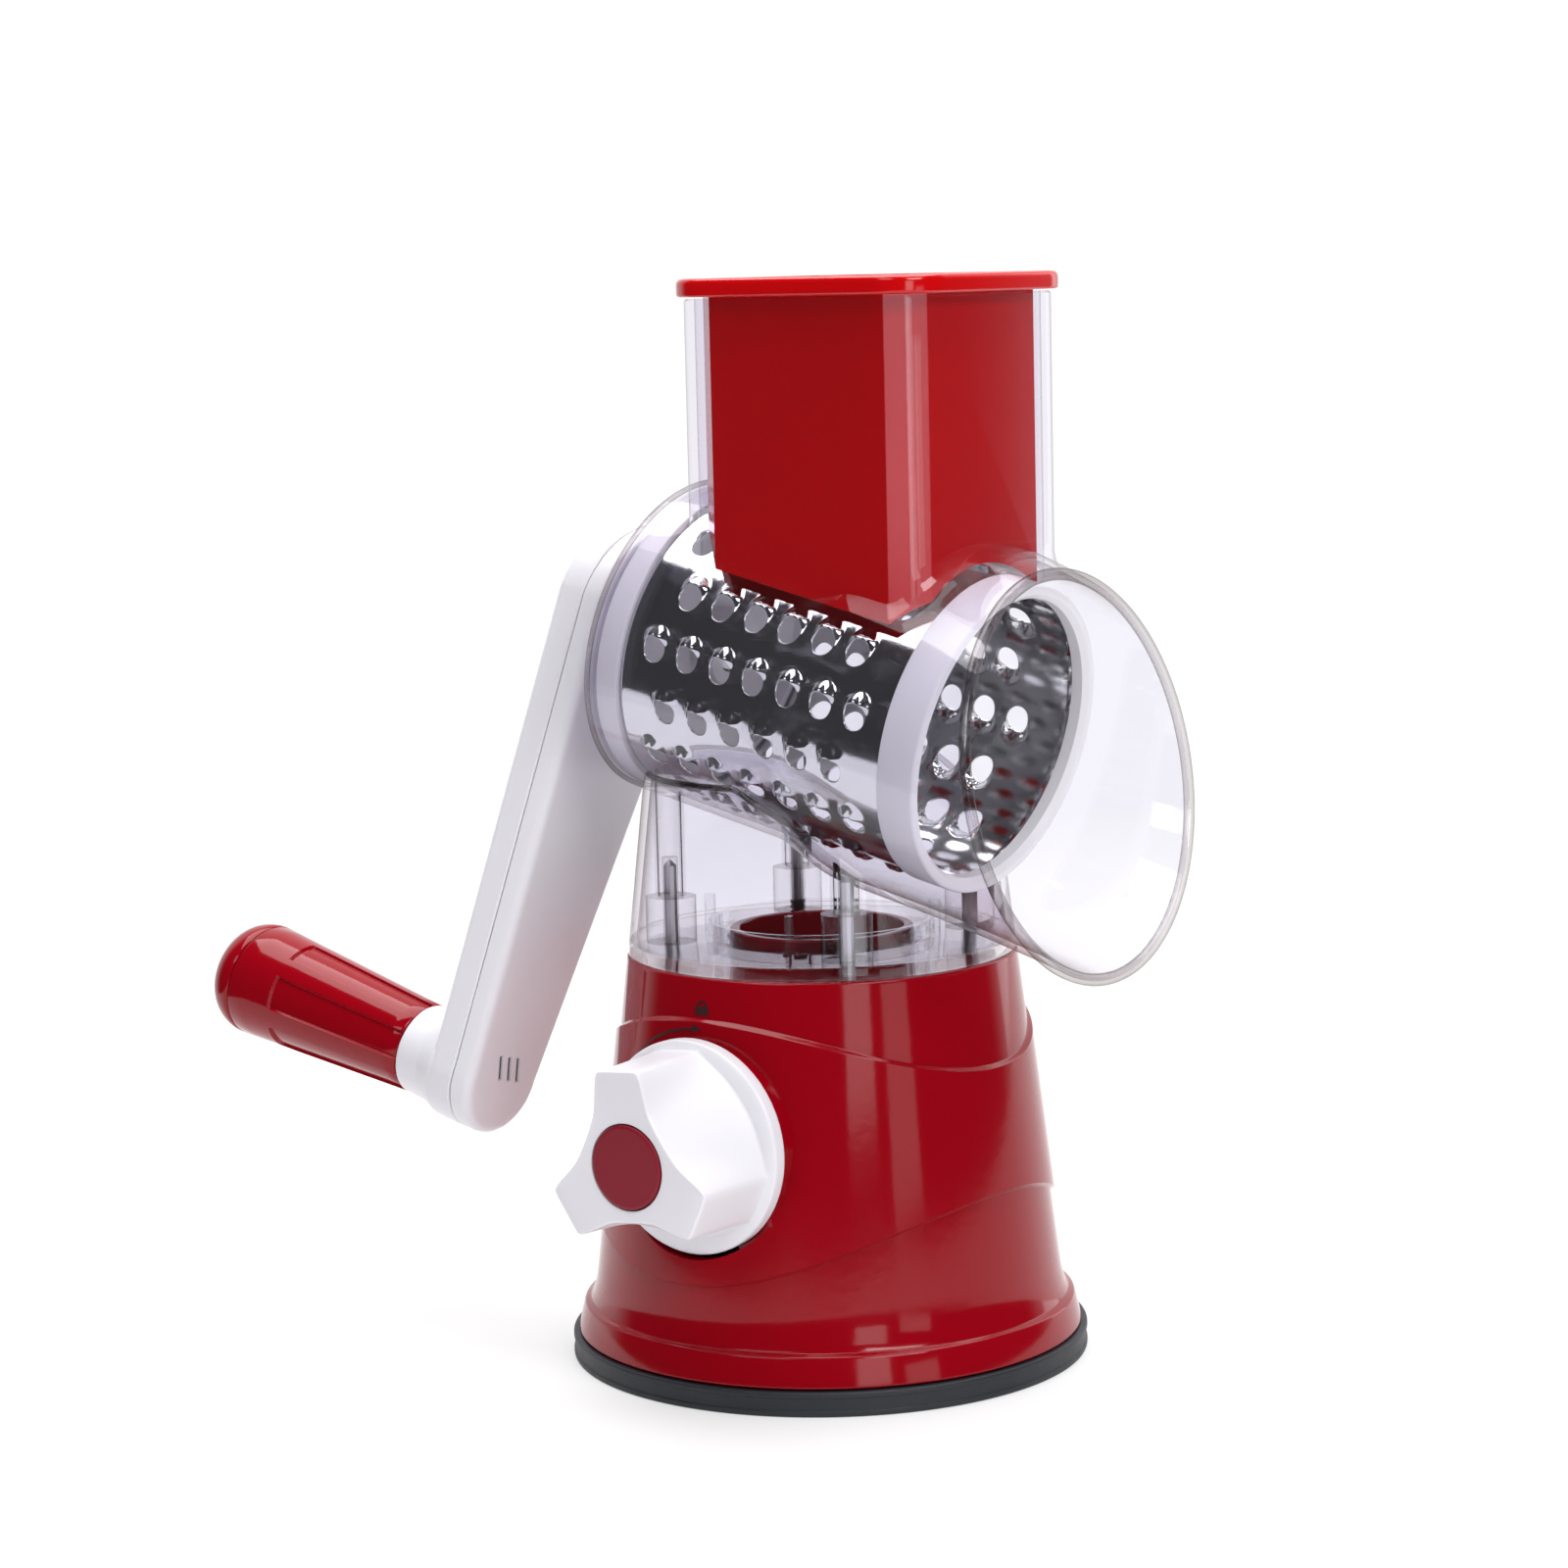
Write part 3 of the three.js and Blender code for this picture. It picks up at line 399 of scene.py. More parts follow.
def base():
    segments = 224
    edge = 0.9
    rings = []

    def ring(place):
        rings.append([place(2 * math.pi * i / segments) for i in range(segments)])

    def turned(r, z):
        ring(lambda a: (r * math.cos(a), r * math.sin(a), z))

    for r, z in fillet([(57.1, 6.1), (FOOT_R, 6.1, 0.5), (LEDGE_R + 0.3, LEDGE_Z - 0.4, 1.0),
                        (LOW_R + 0.9, LEDGE_Z + 0.2, 0.9), (LOW_R, LEDGE_Z + 2.4)], 0.6):
        turned(r, z)
    bottom = LEDGE_Z + 2.4
    top = TOP_Z - 1.2

    def wall(kind, t, proud):
        def place(a):
            low, high = lower_wave(a), upper_wave(a)
            z = {
                "low": bottom + (low - edge - bottom) * t,
                "edge_low": low - edge + edge * t,
                "mid": low + (high - low) * t,
                "edge_high": high + edge * t,
                "high": high + edge + (top - high - edge) * t,
            }[kind]
            soft = proud * proud * (3 - 2 * proud)
            r = cone_radius(z) + BAND * soft
            return (r * math.cos(a), r * math.sin(a), z)
        return place

    for kind, t, proud in base_wall():
        ring(wall(kind, t, proud))
    crown = [(cone_radius(top), top), (TOP_R, TOP_Z, 0.7), (HUB_R, TOP_Z, 0.5), (HUB_R, HUB_Z, 0.8),
             (HUB_R - 2.5, HUB_Z, 0.6), (HUB_R - 2.5, 96.0, 0.5), (0.4, 96.0)]
    for r, z in fillet(crown, 0.6):
        turned(r, z)
    inner = [(0.4, 94.4), (TOP_R - 2.4, 94.4), (LOW_R - 2.4, LEDGE_Z), (57.1, 6.2)]
    for r, z in inner:
        turned(r, z)
    verts = [p for r in rings for p in r]
    faces = []
    for k in range(len(rings)):
        j = (k + 1) % len(rings)
        faces.extend(band(range(k * segments, (k + 1) * segments), range(j * segments, (j + 1) * segments)))
    obj = mesh_object("base", verts, faces)
    turn = Matrix.Translation((0, 0, KNOB_Z)) @ Matrix.Rotation(math.pi / 2, 4, "X")
    recess = rod("recess", 26, 50.2, 70, 96, turn)
    seat = fillet([(0, 46.9), (21, 46.9), (21, 42.7), (24, 42.7), (24, 50.2, 0.4), (0, 50.2)], 0)
    boss = lathe("boss", seat, 96, turn)
    boolean(obj, [recess])
    boolean(obj, [boss], "UNION")
    boolean(obj, [rod("bore", 5.4, 30, 60, 32, turn)])
    return piece(obj, "stand", ["base_shell"], RED)


base()

PAD_SPLIT = 44.0


def pad():
    """The rim goes with the stand; the middle, with its stud, is attached to no body. Its top rises towards
    the stud, and its underside lies on the table.
    """
    rim = fillet([(PAD_SPLIT, 0), (62, 0, 0.9), (62, 1.3, 0.1), (61.7, 1.5, 0.1), (61.7, 4.3, 0.1),
                  (62, 4.5, 0.1), (62, 5.8, 0.9), (46, 5.8, 0.6), (PAD_SPLIT, 2.6)], 0.6)
    piece(lathe("pad_rim", rim, 160), "stand", ["suction_pad"], RUBBER)
    out = PAD_SPLIT - 0.02
    under = [(r, 0) for r in (0, 12, 22, 30, 36, 41, out)]
    over = [(out, 2.6), (36, 2.8), (28, 3.05), (20, 3.3), (9, 3.6, 0.8), (9, 9, 0.8), (3.4, 9), (3.4, 5.5),
            (5.8, 5.5), (5.8, 2.9), (0, 2.9)]
    middle = lathe("pad_middle", under + fillet(over, 0), 128)
    piece(middle, None, ["suction_pad"], RUBBER)
    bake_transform(middle)


pad()

# ------------------------------------------------------------------ marks over the knob


def on_cone(x, z, proud):
    """The base's surface at x, z on its front, as a point in millimetres."""
    r = cone_radius(z) + proud
    return (x, -math.sqrt(max(r * r - x * x, 0)), z)


def mark(name, outer, inner):
    """A thin printed shape that lies on the base, between two matching rings of (x, z)."""
    verts, faces = [], []

    def lay(points, lift):
        start = len(verts)
        for x, z in points:
            angle = math.atan2(-math.sqrt(max(cone_radius(z) ** 2 - x * x, 0)), x)
            on_band = lower_wave(angle) < z < upper_wave(angle)
            verts.append(on_cone(x, z, lift + (BAND if on_band else 0)))
        return list(range(start, start + len(points)))

    rings = [lay(outer, -0.05), lay(outer, 0.09), lay(inner, 0.09), lay(inner, -0.05)]
    for k in range(4):
        faces.extend(band(rings[k], rings[(k + 1) % 4]))
    return piece(mesh_object(name, verts, faces), "stand", [], MARK)


def filled(name, outline):
    """A mark without a hole: its inner ring is drawn in close to its centre."""
    cx = sum(p[0] for p in outline) / len(outline)
    cz = sum(p[1] for p in outline) / len(outline)
    return mark(name, outline, [(cx + (x - cx) * 0.04, cz + (z - cz) * 0.04) for x, z in outline])


def arc_points(cx, cz, r, start, end, steps):
    angles = [math.radians(start + (end - start) * i / steps) for i in range(steps + 1)]
    return [(cx + r * math.cos(a), cz + r * math.sin(a)) for a in angles]


ARROW = (136, 93.5)  # its tail and its neck, degrees round the knob
ARROW_R = (27.6, 26.55)  # radius there
PADLOCK = (-0.3, 88.6)  # middle of its lower edge


def turn_mark():
    """An arrow over the knob that turns towards a small padlock."""
    steps = 24
    low, high = [], []
    for i in range(steps + 1):
        t = i / steps
        a = math.radians(ARROW[0] + (ARROW[1] - ARROW[0]) * t)
        r = ARROW_R[1] + (ARROW_R[0] - ARROW_R[1]) * (1 - t) ** 2
        half = 0.12 + 0.2 * min(1, 3 * t)
        low.append(((r - half) * math.cos(a), KNOB_Z + (r - half) * math.sin(a)))
        high.append(((r + half) * math.cos(a), KNOB_Z + (r + half) * math.sin(a)))
    for k in range(0, steps, 4):
        filled("turn_arrow_%d" % (k // 4), high[k:k + 5] + low[k:k + 5][::-1])
    filled("turn_arrow_head", [(0.7, 85.75), (-2.2, 86.75), (-1.7, 85.6), (-2.3, 84.6)])
    x, z = PADLOCK
    top = z + 2.1
    half = 1.9
    filled("padlock_body", [(x - half, z), (x, z), (x + half, z), (x + half, top), (x, top), (x - half, top)])
    rings = []
    for outside, inside in ((1.4, 0.9), (1.2, 1.1)):
        rings.append(arc_points(x, top, outside, -5, 185, 12) + arc_points(x, top, inside, 185, -5, 12))
    mark("padlock_bow", *rings)


turn_mark()

# ------------------------------------------------------------------ lock knob

knob_frame = Matrix.Translation((0, 0, KNOB_Z)) @ Matrix.Rotation(math.pi / 2, 4, "X")  # local Z is -Y
KNOB_FACE = 77.2
LOBES = 95.3  # direction of the first of the three lobes, degrees
LOBE_ANGLES = (0, 5, 10, 13.5, 15.0, 15.8, 16.6, 18, 20, 22, 24, 27, 31, 36, 42, 48, 54, 60)  # off its middle
LOBE_FACE = (22.0, 22.08, 22.34, 22.52, 22.42, 22.2, 21.85, 21.2, 20.0, 18.8, 17.8, 16.5, 15.2, 14.2, 13.5,
             13.05, 12.8, 12.7)  # radius at those angles, at the front
LOBE_BACK = (22.9, 22.98, 23.2, 23.3, 23.2, 23.05, 22.9, 22.6, 22.3, 22.0, 21.8, 21.5, 21.2, 20.9, 20.65,
             20.5, 20.35, 20.3)  # and at the back


def knob():
    angles, face, foot = [], [], []
    for lobe in range(3):
        for direction in (-1, 1):
            order = range(len(LOBE_ANGLES) - 1, 0, -1) if direction < 0 else range(len(LOBE_ANGLES) - 1)
            for k in order:
                angles.append(math.radians(LOBES + 120 * lobe + direction * LOBE_ANGLES[k]))
                face.append(LOBE_FACE[k])
                foot.append(LOBE_BACK[k])
    face, foot = np.array(face), np.array(foot)
    count = len(angles)
    back = -KNOB_BACK
    rows = []
    for r, h in fillet([(0.3, back), (25, back, 0.7), (25, back + 3.6, 0.8), (23.6, back + 4.2)], 0.7):
        rows.append((np.full(count, r), h))
    start, end = back + 4.6, KNOB_FACE
    rows.append((foot + 0.35, start - 0.25))
    for t in np.linspace(0, 1, 16)[:-1]:
        rows.append((face + (foot - face) * (1 - t) ** 1.2, start + (end - start - 0.7) * t))
    for r, h in ((0.0, 0.7), (0.1, 0.36), (0.3, 0.12), (0.65, 0.0)):
        rows.append((face - r, KNOB_FACE - h))
    for t in (0.35, 0.7, 1.0):
        rows.append((face - 0.65 + (10.6 - face + 0.65) * t, KNOB_FACE - 0.2 * t))
    floor = KNOB_FACE - 5
    well = [(10.6, KNOB_FACE - 0.2), (10.0, KNOB_FACE - 0.3, 0.3), (10.0, floor), (0.3, floor)]
    for r, h in fillet(well, 0.3)[1:]:
        rows.append((np.full(count, r), h))
    rings = [[(r * math.cos(a), r * math.sin(a), h) for r, a in zip(radii, angles)] for radii, h in rows]
    obj = loft("knob", rings, knob_frame)
    piece(obj, "knob", ["lock_knob"], WHITE, sharp=24)
    dish = fillet([(0, KNOB_FACE - 1.6), (9.7, KNOB_FACE - 1.6, 0), (9.7, KNOB_FACE - 0.1, 0.5),
                   (9.0, KNOB_FACE + 0.15, 0.4), (4.5, KNOB_FACE + 0.1, 2.0), (0, KNOB_FACE + 0.05)], 0.6)
    cap = lathe("knob_disc", dish, 96, knob_frame)
    piece(cap, "knob", ["knob_cap"], DISC_RED)


knob()

# ------------------------------------------------------------------ clear parts

CHAMBER_R = 38.8
CHAMBER_REAR = -39.6
FLARE = (6.0, 28.0, 40.0)  # along the axis: where the chamber starts to widen, stops, and bends to the mouth
FLARE_R = 43.4
MOUTH = Vector((73.3, 0, 142.6))
MOUTH_TILT = math.radians(9.5)
MOUTH_R = 46.4
CHUTE_X = 17.1
PUSHER_HALF = (31.2, 28.9)
PUSHER_CORNER = 7.0
CHUTE_TOP = 251.4
ROOF_Z = 141.3


def chamber_radius(s):
    t = min(max((s - FLARE[0]) / (FLARE[1] - FLARE[0]), 0), 1)
    return CHAMBER_R + (FLARE_R - CHAMBER_R) * t * t * (3 - 2 * t)


def chamber(name, grow, rear, past=0.0, rim=0.0):
    """Chamber and outlet about the drum axis, its radius grown by grow, the mouth carried on by past."""
    segments = 144
    up = Vector((-math.sin(MOUTH_TILT), 0, math.cos(MOUTH_TILT)))
    out = Vector((math.cos(MOUTH_TILT), 0, math.sin(MOUTH_TILT)))

    def on_axis(s, a, inset=0.0):
        r = chamber_radius(s) + grow - inset
        return Vector((s, r * math.cos(a), r * math.sin(a)))

    def on_mouth(a, extra):
        p = MOUTH + Vector((0, 1, 0)) * (MOUTH_R + grow) * math.cos(a)
        return to_drum @ (p + up * (MOUTH_R + grow) * math.sin(a) + out * extra)

    def towards(t, a):
        start, end = on_axis(FLARE[2], a), on_mouth(a, 0)
        bend = start.copy()
        bend.x = (start.x + end.x) / 2
        return start * (1 - t) ** 2 + bend * 2 * t * (1 - t) + end * t**2

    places = []
    if rim:
        for k in range(5):
            q = k / 4 * math.pi / 2
            s = rear + rim * (1 - math.cos(q))
            places.append(lambda a, s=s, q=q: on_axis(s, a, rim * (1 - math.sin(q))))
    else:
        places.append(lambda a: on_axis(rear, a))
    for s in np.linspace(FLARE[0], FLARE[1], 12):
        places.append(lambda a, s=s: on_axis(float(s), a))
    for t in np.linspace(0, 1, 14):
        places.append(lambda a, t=t: towards(float(t), a))
    if past:
        places.append(lambda a: on_mouth(a, past))
    rings = [[place(2 * math.pi * i / segments) for i in range(segments)] for place in places]
    return loft(name, rings, drum_frame)


def rounded_rectangle(half, corner, grow=0.0, steps=9):
    points = []
    for k, (sx, sy) in enumerate(((1, 1), (-1, 1), (-1, -1), (1, -1))):
        cx, cy = sx * (half[0] - corner), sy * (half[1] - corner)
        for i in range(steps + 1):
            a = (k + i / steps) * math.pi / 2
            r = corner + grow
            points.append((CHUTE_X + cx + r * math.cos(a), cy + r * math.sin(a)))
    return points


def column(name, grow, z0, z1, steps=9):
    """A square column with rounded corners, or with one step, with its corners cut off flat."""
    points = rounded_rectangle(PUSHER_HALF, PUSHER_CORNER, grow, steps)
    return loft(name, [[(x, y, z) for x, y in points] for z in (z0, z1)])


def on_chamber(x, y):
    """Height of the chamber's outside above x, y."""
    low, high = AXIS_Z - 10, AXIS_Z + 60
    for _ in range(40):
        z = (low + high) / 2
        q = to_drum @ Vector((x, y, z))
        if math.hypot(q.y, q.z) < chamber_radius(q.x):
            low = z
        else:
            high = z
    return low


def chute(name):
    """The chute's outside, which flares in a fillet where it meets the chamber."""
    reach = 7.0
    widest = 38.0
    base_points = rounded_rectangle(PUSHER_HALF, PUSHER_CORNER, 3.0)
    rings = []
    for t in np.linspace(0, 1, 9):
        ring = []
        for k, (x, y) in enumerate(base_points):
            wide = rounded_rectangle(PUSHER_HALF, PUSHER_CORNER, 4.0)[k]
            nx, ny = wide[0] - x, wide[1] - y
            spread = reach * 0.62 * (1 - math.sin(t * math.pi / 2))
            px, py = x + nx * spread, y + ny * spread
            py = max(-widest, min(widest, py))
            ground = on_chamber(px, py)
            lift = reach * (1 - math.cos(t * math.pi / 2)) - 0.25
            ring.append((px, py, ground + lift))
        rings.append(ring)
    sunk = [(p[0], p[1], p[2] - 1.0) for p in rings[0]]
    rings.insert(0, sunk)
    deep = [(CHUTE_X + (x - CHUTE_X) * 0.9, y * 0.9, AXIS_Z + 8) for x, y in base_points]
    rings.insert(0, deep)
    for z in (215.0, CHUTE_TOP - 0.5):
        rings.append([(x, y, z) for x, y in base_points])
    inner = rounded_rectangle(PUSHER_HALF, PUSHER_CORNER, 2.5)
    rings.append([(x, y, CHUTE_TOP) for x, y in inner])
    return loft(name, rings)


ROOF_FALL = 0.56  # how steeply the skirt's roof falls towards the outlet
ROOF_BREAK = 5.0  # x from which it falls


def skirt_radius(z):
    return 46.4 - 0.118 * (z - TOP_Z)


def skirt(name, inset, low, roof):
    """The cone under the chamber, whose roof is level at the back and falls towards the outlet."""
    soft = 0.0 if inset else 0.7
    foot, top = skirt_radius(low) - inset, skirt_radius(roof) - inset
    profile = fillet([(0, low), (foot, low), (top, roof, soft), (0, roof)], 0)
    obj = lathe(name, profile, 160)
    falling = [(x, roof - ROOF_FALL * (x - ROOF_BREAK)) for x in np.linspace(15, 60, 10)]
    rounded = [(-4.0, roof + 0.001), (0.5, roof - 0.12), (5.0, roof - 0.8), (9.5, roof - 2.9)]
    ring = rounded + falling + [(60, roof + 3), (-4.0, roof + 3)]
    wedge = loft(name + "_fall", [[(x, y, z) for x, z in ring] for y in (-60, 60)])
    return boolean(obj, [wedge])


def at_posts(make):
    made = []
    for k, (sx, sy) in enumerate(((1, 1), (-1, 1), (-1, -1), (1, -1))):
        obj = make("post_%d" % k)
        obj.data.transform(Matrix.Translation((sx * POST_AT, sy * POST_AT, 0)))
        made.append(obj)
    return made


def ribbed_post(name, radius, z0, z1):
    """A round post with four fins."""
    obj = rod(name, radius * 0.72, z0, z1, 40)
    for k in range(2):
        turn = Matrix.Rotation(k * math.pi / 2, 4, "Z")
        fin = box(name + "_fin", (-radius, -0.55, z0), (radius, 0.55, z1), turn)
        boolean(obj, [fin], "UNION")
    return obj


def housing():
    obj = chamber("housing", 0.0, CHAMBER_REAR, rim=1.6)
    walls = skirt("skirt", 0.0, 100.6, ROOF_Z)
    boolean(walls, [skirt("hollow", 1.8, 99.0, ROOF_Z - 1.9)])
    boolean(obj, [chute("chute"), walls], "UNION")
    hole = rod("hole", 9.0, CHAMBER_REAR - 5, CHAMBER_REAR + 5, 64, drum_frame @ x_axis)
    room = chamber("room", -1.5, CHAMBER_REAR + 1.9, past=6.0)
    shaft = column("shaft", 0.6, AXIS_Z + 7, CHUTE_TOP + 5)
    boolean(obj, [room, shaft, hole])
    return piece(obj, "stand", ["clear_housing"], CLEAR, sharp=28)


def roof_edge(a):
    """Radius and height of the skirt's upper edge at angle a."""
    z = ROOF_Z
    for _ in range(30):
        x = skirt_radius(z) * math.cos(a)
        z = min(ROOF_Z, ROOF_Z - ROOF_FALL * (x - ROOF_BREAK))
    return skirt_radius(z), z


def housing_edges():
    """The thicker parts of the housing: posts, lip, the beads along its edges and a small tab."""
    posts = at_posts(lambda name: ribbed_post(name, 4.2, 111.5, 147.0))
    bores = at_posts(lambda name: rod(name, SCREW_BORE, 100, 120.5, 24))
    for k, (post, bore) in enumerate(zip(posts, bores)):
        boolean(post, [bore, chamber("above", 0.02, CHAMBER_REAR)])
        piece(post, "stand", ["clear_housing"], POST, sharp=28)
        post.name = "clear_post_%d" % (k + 1)
    lip_turn = Matrix.Translation(MOUTH) @ Matrix.Rotation(math.pi / 2 - MOUTH_TILT, 4, "Y")
    round_lip = np.linspace(0, 2 * math.pi, 15)[:-1]
    lip_ring = [(MOUTH_R - 0.3 + 1.45 * math.cos(a), 1.25 * math.sin(a)) for a in round_lip]
    piece(lathe("outlet_lip", lip_ring, 160, lip_turn), "stand", ["clear_housing"], THICK)
    rings = []
    for i in range(241):
        a = 2 * math.pi * i / 240
        r, z = roof_edge(a)
        ring = []
        for k in range(8):
            b = 2 * math.pi * k / 8
            q = r - 0.85 + 0.75 * math.cos(b)
            ring.append((q * math.cos(a), q * math.sin(a), z - 0.9 + 0.75 * math.sin(b)))
        rings.append(ring)
    bead = loft("roof_bead", rings)
    boolean(bead, [chamber("above", 0.02, CHAMBER_REAR)])
    piece(bead, "stand", ["clear_housing"], THICK, sharp=60)
    rear_ring = [(CHAMBER_R - 0.75 + 0.65 * math.cos(a), CHAMBER_REAR + 0.85 + 0.65 * math.sin(a))
                 for a in np.linspace(0, 2 * math.pi, 9)[:-1]]
    piece(lathe("rear_rim", rear_ring, 160, drum_frame @ x_axis), "stand", ["clear_housing"], THICK)
    at = Matrix.Translation((44.6, -20.5, 184.6))
    at = at @ Matrix.Rotation(math.radians(52), 4, "Z") @ Matrix.Rotation(math.radians(14), 4, "Y")
    tab = box("chute_tab", (-3.6, -1.1, -3.2), (3.6, 1.1, 2.6), at)
    piece(tab, "stand", ["clear_housing"], THICK, bevel=0.3)


housing()
housing_edges()


def deck():
    """The clear floor with its ring, four ribs and four bosses."""
    low, high = 97.3, 100.3
    profile = fillet([(22.6, low), (skirt_radius(low), low, 0.5), (skirt_radius(high), high, 0.5),
                      (27.0, high, 0.5), (27.0, high + 4.2, 0.4), (25.4, high + 4.2, 0.4),
                      (25.4, high, 0.3), (22.6, high)], 0.3)
    obj = lathe("deck", profile, 128)
    ribs = []
    for degrees in (20, 110, 200, 290):
        turn = Matrix.Rotation(math.radians(degrees), 4, "Z")
        ribs.append(box("rib", (26.6, -0.8, high - 0.6), (29.0, 0.8, high + 9), turn))
    boolean(obj, ribs, "UNION")
    boolean(obj, at_posts(lambda name: rod(name, SCREW_BORE, 90, 120, 24)))
    piece(obj, "stand", ["clear_deck"], DECK, sharp=28)
    bores = at_posts(lambda name: rod(name, SCREW_BORE, 90, 120, 24))
    for k, boss in enumerate(at_posts(lambda name: rod(name, 6.0, high + 0.02, 111.2, 48))):
        boolean(boss, [bores[k]])
        piece(boss, "stand", ["clear_deck"], POST, sharp=28)
        boss.name = "deck_boss_%d" % (k + 1)


deck()

# ------------------------------------------------------------------ drum

BARREL = (-30.8, 50.2)  # its ends along the drum's axis
HOLES_MIDDLE = 6.7
BARREL_R = 35.6
WALL = 0.55
ROWS = 16
PITCH = 9.65  # between holes of one row
HOLES = 7  # in every other row, and one fewer in the rest
HOLE = (3.0, 2.6, 3.4, -0.9)  # half width, half height above and below its centre, and that centre's height
HOOD = (2.0, 3.4, 3.5)  # height of the lip, how far above the hole it runs out, half width at the hole


def tooth(ds, dt):
    """Outward lift of the sheet at (ds along the drum, dt up round it) from a cell's centre."""
    height, run, width = HOOD
    lip = HOLE[1] + HOLE[3]
    if dt < lip:
        along = max(0.0, 1 - (lip - dt) / 3.4) ** 1.5
    else:
        beyond = min(1.0, (dt - lip) / run)
        along = (1 - beyond) ** 0.9
        width = width * (1 - beyond ** 1.5) + 0.3
    across = abs(ds) / width
    if across >= 1:
        return 0.0
    notch = 1 - 0.3 * math.exp(-(ds / 0.75) ** 2)
    return height * along * (1 - across ** 1.7) * notch


def barrel():
    """Sheet with an oval hole under a raised lip in every cell, rows staggered by half a pitch."""
    cell_h = 2 * math.pi * BARREL_R / ROWS
    side = 8
    rings = 8
    verts, faces = [], []
    index = {}

    def vertex(s, t, lift):
        if lift is None:
            angle = (t / BARREL_R) % (2 * math.pi)
            key = (round(s, 3), round(angle, 4) if abs(angle - 2 * math.pi) > 5e-4 else 0.0)
            if key not in index:
                index[key] = len(verts)
                verts.append(place(s, t, 0.0))
            return index[key]
        verts.append(place(s, t, lift))
        return len(verts) - 1

    def place(s, t, lift):
        angle = t / BARREL_R
        r = BARREL_R - WALL / 2 + lift
        return (s, -r * math.cos(angle), r * math.sin(angle))

    for row in range(ROWS):
        count = HOLES - row % 2
        centre_t = (row + 0.39) * cell_h
        low_t = centre_t - cell_h / 2
        first = HOLES_MIDDLE - PITCH * (count - 1) / 2
        for k in range(count):
            s0 = first + k * PITCH
            border = []
            for i in range(side):
                border.append((-PITCH / 2 + PITCH * i / side, -cell_h / 2))
            for i in range(side):
                border.append((PITCH / 2, -cell_h / 2 + cell_h * i / side))
            for i in range(side):
                border.append((PITCH / 2 - PITCH * i / side, cell_h / 2))
            for i in range(side):
                border.append((-PITCH / 2, cell_h / 2 - cell_h * i / side))
            outer = [vertex(s0 + x, centre_t + y, None) for x, y in border]
            previous = outer
            for level in range(1, rings + 1):
                u = level / rings
                ring = []
                for x, y in border:
                    a = math.atan2(y, x)
                    hx = HOLE[0] * math.cos(a)
                    hy = HOLE[3] + (HOLE[2] if math.sin(a) < 0 else HOLE[1]) * math.sin(a)
                    ease = 1 - (1 - u) ** 1.1
                    px, py = x + (hx - x) * ease, y + (hy - y) * ease
                    ring.append(vertex(s0 + px, centre_t + py, tooth(px, py)))
                faces.extend(band(previous, ring))
                previous = ring
        for edge, sign in ((BARREL[0], -1), (BARREL[1], 1)):
            start = first - PITCH / 2 if sign < 0 else first + PITCH * (count - 0.5)
            steps = 4 + (4 if row % 2 else 0)
            lines = []
            for j in range(steps + 1):
                grown = 4 if row % 2 else 0
                if j <= grown:
                    s = start + sign * PITCH / 2 * (j / grown if grown else 0)
                else:
                    inner = HOLES_MIDDLE + sign * PITCH * HOLES / 2
                    s = inner + (edge - inner) * (j - grown) / (steps - grown)
                if grown == 0 and j == 0:
                    s = start
                lines.append([vertex(s, low_t + cell_h * i / side, None) for i in range(side + 1)])
            for a, b in zip(lines, lines[1:]):
                for i in range(side):
                    faces.append((a[i], b[i], b[i + 1], a[i + 1]))
    obj = bpy.data.objects.new("barrel", bpy.data.meshes.new("barrel"))
    obj.data.from_pydata(verts, [], faces)
    bpy.context.scene.collection.objects.link(obj)
    bm = bmesh.new()
    bm.from_mesh(obj.data)
    bmesh.ops.remove_doubles(bm, verts=bm.verts, dist=0.02)
    bmesh.ops.recalc_face_normals(bm, faces=bm.faces)
    outward = 0.0
    for f in bm.faces:
        middle = f.calc_center_median()
        outward += f.normal.dot(Vector((0, middle.y, middle.z)).normalized())
    if outward < 0:
        bmesh.ops.reverse_faces(bm, faces=bm.faces)
    bm.to_mesh(obj.data)
    bm.free()
    obj.data.transform(drum_frame)
    obj.data.transform(Matrix.Scale(0.001, 4))
    shell = obj.modifiers.new("sheet", "SOLIDIFY")
    shell.thickness = WALL * 0.001
    shell.offset = 0
    shell.use_even_offset = True
    smooth = obj.modifiers.new("smooth", "SUBSURF")
    smooth.levels = smooth.render_levels = 1
    obj.data.materials.append(STEEL)
    obj.data.shade_smooth()
    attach(obj, "drum")
    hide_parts("drum_barrel")
    return obj


barrel()


def drum_ends():
    turn = drum_frame @ x_axis
    s = BARREL[1] + 0.15
    ring = fillet([(33.3, s), (35.75, s), (35.75, 44.5), (36.7, 44.5, 0.4), (36.7, 54.6, 0.9),
                   (34.6, 54.6, 0.6), (33.3, 53.2, 0.5)], 0)
    piece(lathe("front_ring", ring, 144, turn), "drum", ["drum_front_ring"], WHITE)
    e = BARREL[0] - 0.3
    cap = fillet([(5.6, -36.2), (9, -36.2, 0.5), (9, e - 2.2, 0.6), (34.7, e - 2.2, 0.6),
                  (34.7, -37.4, 0.3), (36.7, -37.4, 0.8), (36.7, e, 0.4), (34.4, e, 0.1),
                  (34.4, e + 3.6, 0.4), (32.6, e + 3.6, 0.4), (32.6, e, 0.6), (9, e, 0.6),
                  (9, e + 6.6, 0.6), (5.6, e + 6.6)], 0.4)
    obj = lathe("rear_cap", cap, 144, turn)
    piece(obj, "drum", ["drum_rear_cap"], WHITE)


drum_ends()

# ------------------------------------------------------------------ crank

